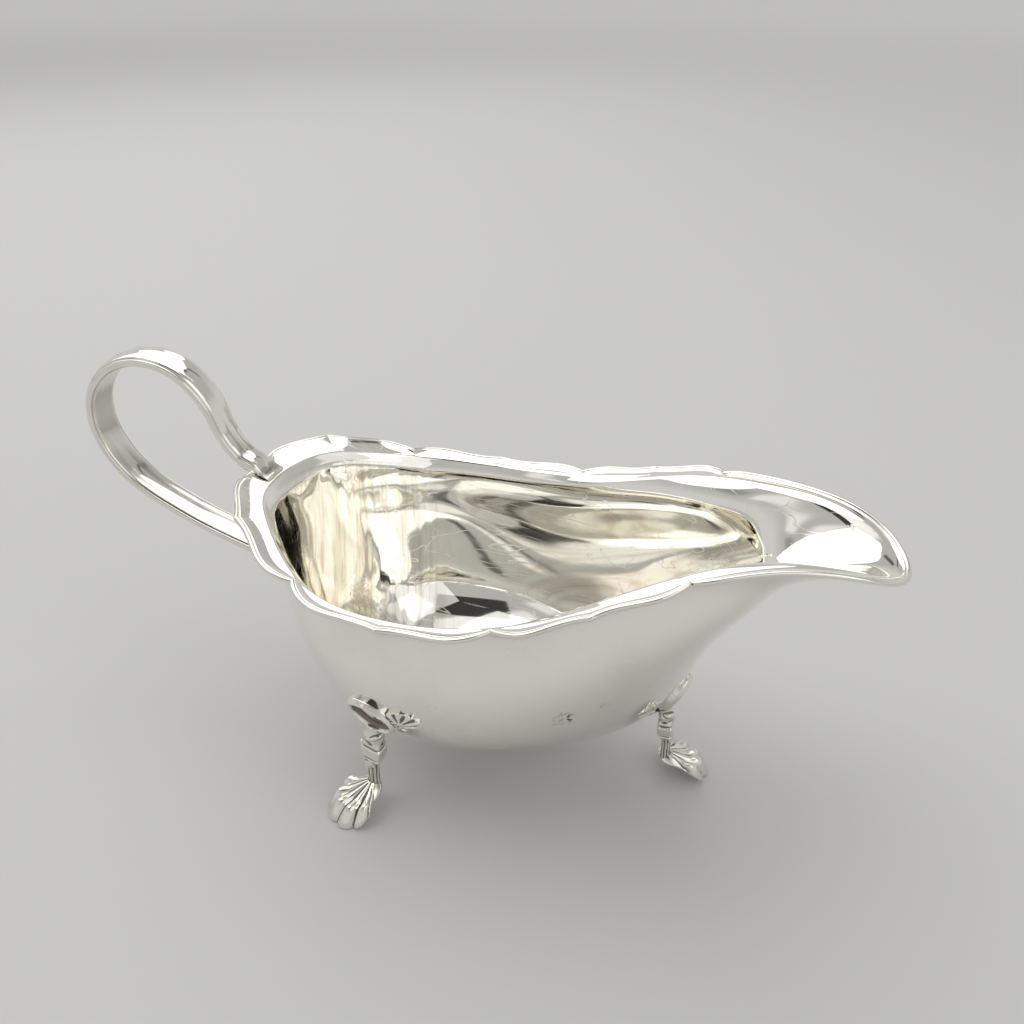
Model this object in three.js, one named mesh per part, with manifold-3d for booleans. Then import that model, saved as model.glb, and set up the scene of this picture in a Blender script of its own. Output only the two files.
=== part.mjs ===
// A three-footed silver sauce boat: a raised bowl with a long spout and a turned-out, scalloped rim,
// an applied edge wire, a flying loop handle and three cast feet that end in fluted shells.
// Millimetres, +Z up, +X toward the spout. The feet stand on z = 0.
import * as THREE from 'three';
import { mergeVertices } from 'three/addons/utils/BufferGeometryUtils.js';
import Module from 'manifold-3d';

const wasm = await Module();
wasm.setup();

// Sheet and seats
const WALL = 1.0; // gauge of the raised sheet
const SEAT_GAP = 0.3; // solder gap between two seated pieces

// Height of the belly's underside above the table, and the level its flank is measured from
const BELLY_CLEARANCE = 8.5;

// Opening of the bowl, where the wall turns out into the rim: distance from amidships, half width, height
const OPENING = {
  tip: { x: 81.8, halfWidth: 0, z: 59.0 },
  bill: { x: 75.5, halfWidth: 9.0, z: 62.6 },
  spout: { x: 63.0, halfWidth: 13.4, z: 64.1 },
  throat: { x: 45.0, halfWidth: 20.6, z: 60.4 },
  bow: { x: 24.0, halfWidth: 26.9, z: 52.9 },
  beam: { x: 0, halfWidth: 29.6, z: 50.0 },
  quarter: { x: -18.5, halfWidth: 25.2, z: 51.5 },
  shoulder: { x: -30.2, halfWidth: 15.0, z: 55.6 },
  stern: { x: -36.3, halfWidth: 0, z: 56.3 },
};
const TIP_RADIUS = 9.0; // rounding of the spout's end, in plan
const EGG_SOFTNESS = 0.5; // how gradually the long fore end runs into the short after end

// Width of the turned-out rim and how far its edge stands above its root, at the same nine places
const RIM = {
  tip: { width: 1.1, rise: 0 },
  bill: { width: 1.1, rise: 0.1 },
  spout: { width: 1.1, rise: 0.1 },
  throat: { width: 1.1, rise: 0.4 },
  bow: { width: 1.7, rise: 0.5 },
  beam: { width: 1.8, rise: 0.3 },
  quarter: { width: 2.2, rise: 0.9 },
  shoulder: { width: 4.0, rise: 1.5 },
  stern: { width: 3.8, rise: 1.6 },
};
const RIM_DISH = 0.35; // hollow across the rim's upper face
const NECK_PLACE = 0.12; // where the rim's underside runs into the wall, as a part of its width
const NECK_DROP = 1.5; // the seats keep clear of the rim's underside by this much

// Scallops: three bracket-shaped lobes on each side, measured along the edge from the stern
const LOBE_LENGTHS = [37.4, 39.5, 33.8];
const LOBE_SHOULDER = 1.15; // swell on each side of a lobe's point
const LOBE_PEAK = 0.9; // height of the point itself
const LOBE_NOTCH = 1.2; // depth of the cut between two lobes
const PEAK_SHARPNESS = 0.14; // reach of the point, as a part of half a lobe
const NOTCH_SHARPNESS = 0.08; // reach of the notch, as a part of half a lobe
const SHOULDER_PLACE = 1.6; // pushes the swell toward the notch

// Profiles of the outer wall from the rim down to the middle of the belly: reach from amidships,
// and height as a part of the local rim height above the belly
const LEVELS = [0, 0.1, 0.25, 0.45, 0.65, 0.82, 0.93, 1];
const KEEL_FORE = {
  reach: [OPENING.tip.x, 69.0, 61.6, 53.7, 47.4, 39.3, 25.0, 0],
  height: [1, 0.925, 0.805, 0.585, 0.31, 0.108, 0.032, 0],
};
const KEEL_AFT = {
  reach: [-OPENING.stern.x, 34.6, 33.4, 30.0, 23.8, 15.6, 8.3, 0],
  height: [1, 0.88, 0.7, 0.45, 0.22, 0.08, 0.018, 0],
};
const FLANK = {
  reach: [OPENING.beam.halfWidth, 29.5, 30.3, 29.0, 24.5, 16.5, 8.6, 0],
  height: KEEL_AFT.height,
};
const EGG_LEVEL = 0.55; // level at which the pinched rim plan has become a plain egg

// Edge wire
const WIRE_RADIUS = 0.5;

// Handle: stations of the strap's centre line behind and above the stern edge, from the upper seat round
const STRAP_LINE = [
  { behind: -2.2, above: 0.9 },
  { behind: 0.4, above: 1.6 },
  { behind: 4.0, above: 1.9 },
  { behind: 7.0, above: 6.1 },
  { behind: 10.2, above: 13.7 },
  { behind: 15.9, above: 19.1 },
  { behind: 23.1, above: 20.5 },
  { behind: 30.8, above: 18.0 },
  { behind: 36.5, above: 11.2 },
  { behind: 37.1, above: 3.1 },
  { behind: 31.9, above: -5.9 },
  { behind: 18.3, above: -13.7 },
];
const STRAP_SEAT_DROP = 22.4; // the lower arm meets the wall this far below the stern edge
const STRAP_WIDTH = 7.4; // at the back of the loop
const STRAP_NECK_WIDTH = 6.0; // where the upper arm thins before its seat
const STRAP_ROOT_WIDTH = 10.0; // flare on the rim
const STRAP_THICKNESS = 2.6;
const STRAP_ROOT_THICKNESS = 1.6;
const STRAP_ROOT_END = 0.06; // the flare ends at this part of the strap's length
const STRAP_NECK_END = 0.3; // the strap has its full width from this part of its length
const STRAP_CROWN = 0.6; // part of the thickness that stands outside the centre line
const STRAP_CROWN_FULLNESS = 0.7; // below 1 the section's sides are fuller than an oval's
const STRAP_BACK_FULLNESS = 0.6; // the same for its flatter inner face
const TONGUE_LENGTH = 5.4; // pointed tongue under the root of the upper arm
const TONGUE_RADIUS = 1.0;
const TONGUE_BEND = { along: 0.42, drop: 0.6 }; // parts of its length and of its radius

// Feet: a dished oval knee on the wall, a ribbed leaf below it, a collared leg and a fluted shell.
// Each knee: its level on the wall, degrees round from the spout, lean toward the stern in degrees, how
// far the leaf leans beyond that, how far along the knee from its middle the leg springs, how far out
// and aft of that the ankle stands, and how far the shell is turned, in degrees
const FORE_KNEE = {
  level: 0.668,
  angle: 0,
  lean: 0,
  leafLean: 0,
  legPlace: -2.4,
  ankleOut: 0.9,
  ankleAft: 0,
  turn: 44,
};
const REAR_KNEE = {
  level: 0.48,
  angle: 104,
  lean: 71,
  leafLean: 30,
  legPlace: -0.3,
  ankleOut: -1.4,
  ankleAft: 2.7,
  turn: 34,
};
const KNEE_LENGTH = 10.8;
const KNEE_WIDTH = 7.8;
const KNEE_HEIGHT = 1.7; // its raised border stands this far off the wall
const KNEE_HOLLOW = 1.0; // depth of its dish
const KNEE_BORDER = { place: 0.78, reach: 0.2 }; // where the border stands, as a part of the knee's radius
const LEAF_LENGTH = 6.4;
const LEAF_WIDTH = 4.6;
const LEAF_HEIGHT = 1.3;
const LEAF_RIBS = 3;
const LEAF_RIB_DEPTH = 0.3; // as a part of its height
const LEAF_FALL = 0.6; // its border is lower than its middle by this part
const LEG_RADIUS = 1.35;
const COLLAR = { radius: 2.0, along: 0.3, reach: 0.05 }; // along: as a part of the leg's length
const KNUCKLE = { radius: 2.1, along: 0.53, reach: 0.12 };
const ANKLE_HEIGHT = 8.6;
const SHELL_HEIGHT = 6.7; // top of the shell, at its hinge
const SHELL_REACH = 9.9; // from its hinge to the middle of its scalloped edge
const SHELL_SPREAD = 118; // degrees over the whole fan
const SHELL_FLUTES = 5;
const FLUTE_DEPTH = 0.9; // depth of the grooves between the flutes
const SHELL_CUTBACK = 0.3; // its outer flutes are shorter than the middle one by this part
const SHELL_SLOPE = 0.58; // fall of its crest from the hinge to the edge, as a part of its height
const SHELL_ROUNDING = 5; // power of the rounded ends of the flutes
const SOLE_PLACE = 0.6; // middle of the flat sole, as a part of the reach
const HEEL_RADIUS = 1.4; // of the shell's back, round its hinge
const HEEL_SQUARENESS = 0.3; // how quickly the outline turns in from the fan to the heel
const HEEL_LIFT = 4.6; // the back of the shell clears the table by this much

// Fineness of the surfaces
const HALF_LOBE_STEPS = 6;
const SPOUT_STEPS = 12;
const WALL_STEPS = 10;
const FIRST_LEVEL = 0.08; // levels of the highest and lowest rings of the wall
const LAST_LEVEL = 0.95;
const HANDLE_STEPS = 46;
const STRAP_SIDES = 14;
const WIRE_SIDES = 8;
const KNEE_SIDES = 20;
const BOSS_RINGS = [0.35, 0.6, 0.78, 0.92, 1]; // parts of the boss's radius
const LEG_STEPS = 16;
const LEG_SIDES = 12;
const FLUTE_STEPS = 6;
const HEEL_STEPS = 10;
const SHELL_STEPS = 7;
const TONGUE_STEPS = 7;
const TOLERANCE = 1e-6; // of the searches for a place on a curve, far below any size

const silver = () => new THREE.MeshStandardMaterial({ color: 0xdad7d0, roughness: 0.1, metalness: 1 });
const castSilver = () => new THREE.MeshStandardMaterial({ color: 0xcfcbc3, roughness: 0.18, metalness: 1 });

// Smooth step with a flat start and end
const ease = (t) => THREE.MathUtils.smootherstep(t, 0, 1);
const lerp = THREE.MathUtils.lerp;
const UP = new THREE.Vector3(0, 0, 1);

// Cubic spline through knots; slope is its end slope, or null where the end is free
function cubicSpline(knots, values, startSlope = null, endSlope = null) {
  const last = knots.length - 1;
  const step = (i) => knots[i + 1] - knots[i];
  const rise = (i) => (values[i + 1] - values[i]) / step(i);
  const lower = [];
  const diagonal = [];
  const upper = [];
  const right = [];
  for (let i = 0; i <= last; i++) {
    if (i > 0 && i < last) {
      lower.push(step(i - 1));
      diagonal.push(2 * (step(i - 1) + step(i)));
      upper.push(step(i));
      right.push(6 * (rise(i) - rise(i - 1)));
    } else {
      const slope = i === 0 ? startSlope : endSlope;
      const span = i === 0 ? step(0) : step(last - 1);
      const chord = i === 0 ? rise(0) : rise(last - 1);
      const sign = i === 0 ? 1 : -1;
      lower.push(slope === null ? 0 : span);
      diagonal.push(slope === null ? 1 : 2 * span);
      upper.push(slope === null ? 0 : span);
      right.push(slope === null ? 0 : 6 * sign * (chord - slope));
    }
  }
  for (let i = 1; i <= last; i++) {
    const factor = lower[i] / diagonal[i - 1];
    diagonal[i] -= factor * upper[i - 1];
    right[i] -= factor * right[i - 1];
  }
  const bend = new Array(last + 1);
  bend[last] = right[last] / diagonal[last];
  for (let i = last - 1; i >= 0; i--) bend[i] = (right[i] - upper[i] * bend[i + 1]) / diagonal[i];
  return (x) => {
    let i = 0;
    while (i < last - 1 && x > knots[i + 1]) i++;
    const span = step(i);
    const before = knots[i + 1] - x;
    const after = x - knots[i];
    const cubic = (bend[i] * before ** 3 + bend[i + 1] * after ** 3) / (6 * span);
    const left = (values[i] / span - (bend[i] * span) / 6) * before;
    return cubic + left + (values[i + 1] / span - (bend[i + 1] * span) / 6) * after;
  };
}

// The hull: an egg in plan at every level, pinched at the rim to the plan of the opening.
// level runs from 0 at the rim to 1 under the belly, angle from 0 at the spout to PI at the stern
const stations = Object.keys(OPENING);
const foreReach = cubicSpline(LEVELS, KEEL_FORE.reach);
const aftReach = cubicSpline(LEVELS, KEEL_AFT.reach);
const flankReach = cubicSpline(LEVELS, FLANK.reach);
const foreHeight = cubicSpline(LEVELS, KEEL_FORE.height, null, 0);
const aftHeight = cubicSpline(LEVELS, KEEL_AFT.height, null, 0);
const flankHeight = cubicSpline(LEVELS, FLANK.height, null, 0);

// Distance fore and aft of amidships for the cosine of an angle
function eggLength(cosine, fore, aft) {
  const soft = (c) => (c + Math.hypot(c, EGG_SOFTNESS)) / 2;
  const share = (soft(cosine) - soft(-1)) / (soft(1) - soft(-1));
  return aft * cosine + (fore - aft) * share;
}

// Angle at which the opening's egg reaches x
function angleAt(x) {
  let low = 0;
  let high = Math.PI;
  while (high - low > TOLERANCE) {
    const middle = (low + high) / 2;
    if (eggLength(Math.cos(middle), OPENING.tip.x, -OPENING.stern.x) > x) low = middle;
    else high = middle;
  }
  return (low + high) / 2;
}

const stationAngles = stations.map((name) => angleAt(OPENING[name].x));
stationAngles[0] = 0;
stationAngles[stations.length - 1] = Math.PI;
const nearTip = 1e-4;
const tipSlope = (OPENING.tip.x - eggLength(1 - nearTip, OPENING.tip.x, -OPENING.stern.x)) / nearTip;
const pinches = stations.map((name, i) => {
  if (name === 'tip') return Math.sqrt(TIP_RADIUS * tipSlope) / OPENING.beam.halfWidth;
  if (name === 'stern') return 1;
  return OPENING[name].halfWidth / (OPENING.beam.halfWidth * Math.sin(stationAngles[i]));
});
const stationValues = (table, key) => stations.map((name) => table[name][key]);
const pinchAt = cubicSpline(stationAngles, pinches, 0, 0);
const openingHeight = cubicSpline(stationAngles, stationValues(OPENING, 'z'), 0, 0);
const rimWidth = cubicSpline(stationAngles, stationValues(RIM, 'width'), 0, 0);
const rimRise = cubicSpline(stationAngles, stationValues(RIM, 'rise'), 0, 0);

function hull(level, angle) {
  const turn = Math.abs(angle);
  const quarter = Math.PI / 2;
  const pinch = lerp(pinchAt(turn), 1, ease(level / EGG_LEVEL));
  const fore = ease(1 - turn / quarter);
  const aft = ease(turn / quarter - 1);
  const flank = 1 - fore - aft;
  const height = fore * foreHeight(level) + aft * aftHeight(level) + flank * flankHeight(level);
  return new THREE.Vector3(
    eggLength(Math.cos(angle), foreReach(level), aftReach(level)),
    flankReach(level) * Math.sin(angle) * pinch,
    lerp(BELLY_CLEARANCE, openingHeight(turn), height),
  );
}

// Outward normal of the hull
function hullNormal(level, angle) {
  const d = 1e-3;
  const down = hull(Math.min(level + d, 1), angle).sub(hull(Math.max(level - d, 0), angle));
  const round = hull(level, angle + d).sub(hull(level, angle - d));
  return round.cross(down).negate().normalize();
}

// Point at a distance off the hull, outward; the middle of the belly faces straight down
function offHull(level, angle, distance) {
  const foot = hull(level, angle);
  const normal = level > 0.999 ? new THREE.Vector3(0, 0, -1) : hullNormal(level, angle);
  return foot.addScaledVector(normal, distance);
}

// Outward direction in plan at the opening
function planNormal(angle) {
  const d = 1e-3;
  const along = hull(0, angle + d).sub(hull(0, angle - d));
  return new THREE.Vector3(along.y, -along.x, 0).normalize();
}

// The rim's edge before it is scalloped
function plainEdge(angle) {
  const turn = Math.abs(angle);
  const edge = hull(0, angle).addScaledVector(planNormal(angle), rimWidth(turn));
  edge.z += rimRise(turn);
  return edge;
}

// Length along the plain edge from the stern, and the angle at a given length
const TRACE_STEPS = 600;
const traceLengths = [0];
const traceAngle = (i) => Math.PI * (1 - i / TRACE_STEPS);
for (let i = 1; i <= TRACE_STEPS; i++) {
  const piece = plainEdge(traceAngle(i)).distanceTo(plainEdge(traceAngle(i - 1)));
  traceLengths.push(traceLengths[i - 1] + piece);
}
function angleAtLength(length) {
  let i = 1;
  while (i < TRACE_STEPS && traceLengths[i] < length) i++;
  const share = (length - traceLengths[i - 1]) / (traceLengths[i] - traceLengths[i - 1]);
  return lerp(traceAngle(i - 1), traceAngle(i), THREE.MathUtils.clamp(share, 0, 1));
}
function lengthAtAngle(angle) {
  const place = (1 - Math.abs(angle) / Math.PI) * TRACE_STEPS;
  const i = Math.min(Math.floor(place), TRACE_STEPS - 1);
  return lerp(traceLengths[i], traceLengths[i + 1], place - i);
}

// How far the scalloped edge stands outside the plain one at a length from the stern
function scallop(length) {
  let start = 0;
  for (let lobe = 0; lobe < LOBE_LENGTHS.length; lobe++) {
    const end = start + LOBE_LENGTHS[lobe];
    if (length <= end) {
      const fromPeak = Math.abs(length - (start + end) / 2) / ((end - start) / 2);
      const swell = LOBE_SHOULDER * Math.sin(Math.PI * fromPeak ** SHOULDER_PLACE) ** 2;
      const peak = LOBE_PEAK * Math.exp(-fromPeak / PEAK_SHARPNESS);
      const plainStern = lobe === 0 && length < (start + end) / 2;
      const notch = plainStern ? 0 : LOBE_NOTCH * Math.exp(-(1 - fromPeak) / NOTCH_SHARPNESS);
      return swell + peak - notch;
    }
    start = end;
  }
  const past = (length - start) / (LOBE_LENGTHS.at(-1) / 2);
  return -LOBE_NOTCH * Math.exp(-past / NOTCH_SHARPNESS);
}

function edgePoint(angle) {
  const out = scallop(lengthAtAngle(angle));
  return plainEdge(angle).addScaledVector(planNormal(angle), out);
}

// Angles of the columns round the boat: closer together at the points and notches of the lobes
function columnAngles() {
  const half = [];
  let start = 0;
  for (const lobe of LOBE_LENGTHS) {
    for (const side of [0, 1]) {
      for (let k = 0; k < HALF_LOBE_STEPS; k++) {
        const share = (1 - Math.cos((Math.PI * k) / HALF_LOBE_STEPS)) / 2;
        half.push(angleAtLength(start + (lobe / 2) * (side + share)));
      }
    }
    start += lobe;
  }
  const total = traceLengths[TRACE_STEPS];
  for (let k = 0; k < SPOUT_STEPS; k++) half.push(angleAtLength(lerp(start, total, k / SPOUT_STEPS)));
  return [...half, 0, ...half.slice(1).reverse().map((angle) => -angle)];
}
const columns = columnAngles();

// Closed solid through rings of equal count; a ring of one point is a pole, and open ends are capped
function loft(rings, closed = false) {
  const corners = [];
  const faces = [];
  const starts = rings.map((ring) => {
    const start = corners.length;
    corners.push(...ring);
    return start;
  });
  const join = (i, j) => {
    const count = Math.max(rings[i].length, rings[j].length);
    for (let k = 0; k < count; k++) {
      const next = (k + 1) % count;
      const a = starts[i] + (rings[i].length > 1 ? k : 0);
      const b = starts[i] + (rings[i].length > 1 ? next : 0);
      const c = starts[j] + (rings[j].length > 1 ? k : 0);
      const d = starts[j] + (rings[j].length > 1 ? next : 0);
      if (a !== b) faces.push(a, b, c);
      if (c !== d) faces.push(b, d, c);
    }
  };
  for (let i = 0; i + 1 < rings.length; i++) join(i, i + 1);
  if (closed) join(rings.length - 1, 0);
  const cap = (i, forward) => {
    const ring = rings[i];
    const middle = ring.reduce((sum, corner) => sum.add(corner), new THREE.Vector3());
    corners.push(middle.divideScalar(ring.length));
    for (let k = 0; k < ring.length; k++) {
      const a = starts[i] + k;
      const b = starts[i] + ((k + 1) % ring.length);
      faces.push(corners.length - 1, ...(forward ? [a, b] : [b, a]));
    }
  };
  if (!closed && rings[0].length > 1) cap(0, false);
  if (!closed && rings.at(-1).length > 1) cap(rings.length - 1, true);
  let volume = 0;
  for (let f = 0; f < faces.length; f += 3) {
    const [a, b, c] = [corners[faces[f]], corners[faces[f + 1]], corners[faces[f + 2]]];
    volume += a.dot(new THREE.Vector3().crossVectors(b, c));
  }
  if (volume < 0) faces.reverse();
  const geometry = new THREE.BufferGeometry().setFromPoints(corners);
  geometry.setIndex(faces);
  return geometry;
}

// Between a geometry and a solid that can be cut
function toSolid(geometry) {
  const bare = geometry.clone();
  bare.deleteAttribute('normal');
  bare.deleteAttribute('uv');
  const merged = mergeVertices(bare, 1e-4);
  const vertProperties = new Float32Array(merged.attributes.position.array);
  const triVerts = new Uint32Array(merged.index.array);
  return new wasm.Manifold(new wasm.Mesh({ numProp: 3, vertProperties, triVerts }));
}
function toGeometry(solid) {
  const mesh = solid.getMesh();
  const geometry = new THREE.BufferGeometry();
  geometry.setAttribute('position', new THREE.BufferAttribute(new Float32Array(mesh.vertProperties), 3));
  geometry.setIndex(new THREE.BufferAttribute(new Uint32Array(mesh.triVerts), 1));
  geometry.computeVertexNormals();
  return geometry;
}

// Rings that follow the rim: across runs from 0 at its root to 1 at its edge
function rimRing(across, drop) {
  return columns.map((angle) => {
    const root = hull(0, angle);
    const edge = edgePoint(angle);
    const point = root.clone().lerp(edge, across);
    point.z -= drop + RIM_DISH * Math.sin(Math.PI * across);
    return point;
  });
}

const wallLevel = (k) => lerp(FIRST_LEVEL, LAST_LEVEL, k / WALL_STEPS);
const hullRing = (level, distance) => columns.map((angle) => offHull(level, angle, distance));
const pole = (level, distance) => [offHull(level, 0, distance)];

// The bowl: one sheet from the middle of the belly up the inside, over the rim and down the outside
function bowlRings() {
  const rings = [pole(1, -WALL)];
  for (let k = WALL_STEPS; k >= 0; k--) rings.push(hullRing(wallLevel(k), -WALL));
  for (const across of [0, 0.5, 1]) rings.push(rimRing(across, 0));
  for (const across of [1, 0.5]) rings.push(rimRing(across, WALL));
  rings.push(rimRing(NECK_PLACE, WALL + RIM_DISH));
  for (let k = 0; k <= WALL_STEPS; k++) rings.push(hullRing(wallLevel(k), 0));
  rings.push(pole(1, 0));
  return rings;
}

// The whole boat filled up to its rim and grown by a gap, to cut what seats on it
function filledBoat(gap) {
  const grown = (across, drop, out) => rimRing(across, drop).map((point, i) => (
    point.addScaledVector(planNormal(columns[i]), out)
  ));
  const lid = new THREE.Vector3(0, 0, OPENING.beam.z + gap);
  const rings = [[lid], grown(0, -gap, 0), grown(0.5, -gap, 0), grown(1, -gap, gap)];
  rings.push(grown(1, WALL + gap, gap), grown(0.5, WALL + gap, 0), grown(NECK_PLACE, NECK_DROP + gap, gap));
  for (let k = 0; k <= WALL_STEPS; k++) rings.push(hullRing(wallLevel(k), gap));
  rings.push(pole(1, gap));
  return toSolid(loft(rings));
}

// The edge wire, round in section, lies against the rim's edge. It runs round from one side of the
// handle's root to the other
function wireEnd() {
  const clear = STRAP_ROOT_WIDTH / 2 + SEAT_GAP;
  let low = Math.PI / 2;
  let high = Math.PI;
  while (high - low > TOLERANCE) {
    const middle = (low + high) / 2;
    if (edgePoint(middle).y > clear) low = middle;
    else high = middle;
  }
  return low;
}

function wireGeometry() {
  const end = wireEnd();
  const inner = columns.filter((angle) => Math.abs(angle) < end);
  const rings = [end, ...inner, -end].map((angle) => {
    const out = planNormal(angle);
    const centre = edgePoint(angle).addScaledVector(out, SEAT_GAP + WIRE_RADIUS);
    centre.z -= WALL / 2;
    const ring = [];
    for (let k = 0; k < WIRE_SIDES; k++) {
      const turn = (2 * Math.PI * (k + 0.5)) / WIRE_SIDES;
      const point = centre.clone().addScaledVector(out, WIRE_RADIUS * Math.cos(turn));
      point.z += WIRE_RADIUS * Math.sin(turn);
      ring.push(point);
    }
    return ring;
  });
  return loft(rings);
}

// The strap of the handle: domed outside, flatter inside, swept round its loop
const sternEdge = edgePoint(Math.PI);

// Level on the hull's stern line at a height
function sternLevel(z) {
  let low = 0;
  let high = 1;
  while (high - low > TOLERANCE) {
    const middle = (low + high) / 2;
    if (hull(middle, Math.PI).z > z) low = middle;
    else high = middle;
  }
  return (low + high) / 2;
}

function strapCurve() {
  const points = STRAP_LINE.map(({ behind, above }) => (
    new THREE.Vector3(sternEdge.x - behind, 0, sternEdge.z + above)
  ));
  const seat = offHull(sternLevel(sternEdge.z - STRAP_SEAT_DROP), Math.PI, -WALL / 2);
  return new THREE.CatmullRomCurve3([...points, seat], false, 'centripetal');
}

function strapSection(along) {
  const flare = 1 - ease(along / STRAP_ROOT_END);
  const thinning = ease(along / STRAP_NECK_END);
  const width = lerp(lerp(STRAP_NECK_WIDTH, STRAP_WIDTH, thinning), STRAP_ROOT_WIDTH, flare);
  const thickness = lerp(STRAP_THICKNESS, STRAP_ROOT_THICKNESS, flare);
  const points = [];
  for (let k = 0; k < STRAP_SIDES; k++) {
    const turn = (2 * Math.PI * k) / STRAP_SIDES;
    const cosine = Math.cos(turn);
    const sine = Math.sin(turn);
    const across = Math.sign(cosine) * Math.abs(cosine) ** STRAP_CROWN_FULLNESS;
    const back = -(1 - STRAP_CROWN) * Math.abs(sine) ** STRAP_BACK_FULLNESS;
    points.push({ across: (width / 2) * across, out: thickness * (sine > 0 ? STRAP_CROWN * sine : back) });
  }
  return points;
}

function handleSolid() {
  const curve = strapCurve();
  const rings = [];
  for (let i = 0; i <= HANDLE_STEPS; i++) {
    const along = i / HANDLE_STEPS;
    const centre = curve.getPointAt(along);
    const tangent = curve.getTangentAt(along);
    const outward = new THREE.Vector3(tangent.z, 0, -tangent.x);
    rings.push(strapSection(along).map(({ across, out }) => {
      const point = centre.clone().addScaledVector(outward, out);
      point.y += across;
      return point;
    }));
  }
  return toSolid(loft(rings)).add(tongueSolid());
}

// Round bar that follows a curve with a radius along it
function bar(curve, steps, sides, radiusAt) {
  const rings = [];
  const frames = curve.computeFrenetFrames(steps, false);
  for (let i = 0; i <= steps; i++) {
    const centre = curve.getPointAt(i / steps);
    const radius = radiusAt(i / steps);
    if (radius === 0) {
      rings.push([centre]);
      continue;
    }
    const ring = [];
    for (let k = 0; k < sides; k++) {
      const turn = (2 * Math.PI * k) / sides;
      const spoke = frames.normals[i].clone().multiplyScalar(radius * Math.cos(turn));
      spoke.addScaledVector(frames.binormals[i], radius * Math.sin(turn));
      ring.push(centre.clone().add(spoke));
    }
    rings.push(ring);
  }
  return loft(rings);
}

// Pointed tongue that curls back under the root of the upper arm
function tongueSolid() {
  const at = (behind, above) => new THREE.Vector3(sternEdge.x - behind, 0, sternEdge.z + above);
  const bend = at(TONGUE_LENGTH * TONGUE_BEND.along, -TONGUE_RADIUS * TONGUE_BEND.drop);
  const tip = at(TONGUE_LENGTH, TONGUE_RADIUS);
  const curve = new THREE.CatmullRomCurve3([at(0, STRAP_THICKNESS / 2), bend, tip]);
  return toSolid(bar(curve, TONGUE_STEPS, WIRE_SIDES, (along) => (
    along === 1 ? 0 : TONGUE_RADIUS * Math.sqrt(1 - along)
  )));
}

// Point over the wall near a knee: up the wall and across it from the knee's middle, and off it
function overWall(knee, up, across, distance) {
  const angle = THREE.MathUtils.degToRad(knee.angle);
  const lean = THREE.MathUtils.degToRad(knee.lean);
  const d = 1e-3;
  const levelLength = hull(knee.level + d, angle).distanceTo(hull(knee.level - d, angle)) / (2 * d);
  const angleLength = hull(knee.level, angle + d).distanceTo(hull(knee.level, angle - d)) / (2 * d);
  const climb = up * Math.cos(lean) - across * Math.sin(lean);
  const sweep = up * Math.sin(lean) + across * Math.cos(lean);
  return offHull(knee.level - climb / levelLength, angle + sweep / angleLength, distance);
}

// A boss that follows the wall: an oval of given half lengths, with its height over its own radius
function wallBoss(knee, middle, halfLength, halfWidth, heightAt) {
  const ring = (radius, distance) => {
    const points = [];
    for (let k = 0; k < KNEE_SIDES; k++) {
      const turn = (2 * Math.PI * k) / KNEE_SIDES;
      const up = middle + halfLength * radius * Math.cos(turn);
      const across = halfWidth * radius * Math.sin(turn);
      points.push(overWall(knee, up, across, distance ?? heightAt(radius, turn)));
    }
    return points;
  };
  const rings = [[overWall(knee, middle, 0, heightAt(0, 0))], ...BOSS_RINGS.map((radius) => ring(radius))];
  rings.push(ring(1, -WALL / 2), [overWall(knee, middle, 0, -WALL / 2)]);
  return toSolid(loft(rings));
}

function kneeSolid(knee) {
  return wallBoss(knee, 0, KNEE_LENGTH / 2, KNEE_WIDTH / 2, (radius) => {
    const border = Math.exp(-(((radius - KNEE_BORDER.place) / KNEE_BORDER.reach) ** 2));
    const fall = radius < KNEE_BORDER.place ? KNEE_HOLLOW : KNEE_HEIGHT / 2;
    return KNEE_HEIGHT - fall * (1 - border);
  });
}

function leafSolid(knee) {
  const middle = -(KNEE_LENGTH + LEAF_LENGTH) / 2 + LEAF_WIDTH / 2;
  const leaning = { ...knee, lean: knee.lean + knee.leafLean };
  return wallBoss(leaning, middle, LEAF_LENGTH / 2, LEAF_WIDTH / 2, (radius, turn) => {
    const rib = 1 - LEAF_RIB_DEPTH * (1 - Math.cos(2 * LEAF_RIBS * turn));
    return LEAF_HEIGHT * (1 - LEAF_FALL * radius ** 2) * lerp(1, rib, radius);
  });
}

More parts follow.
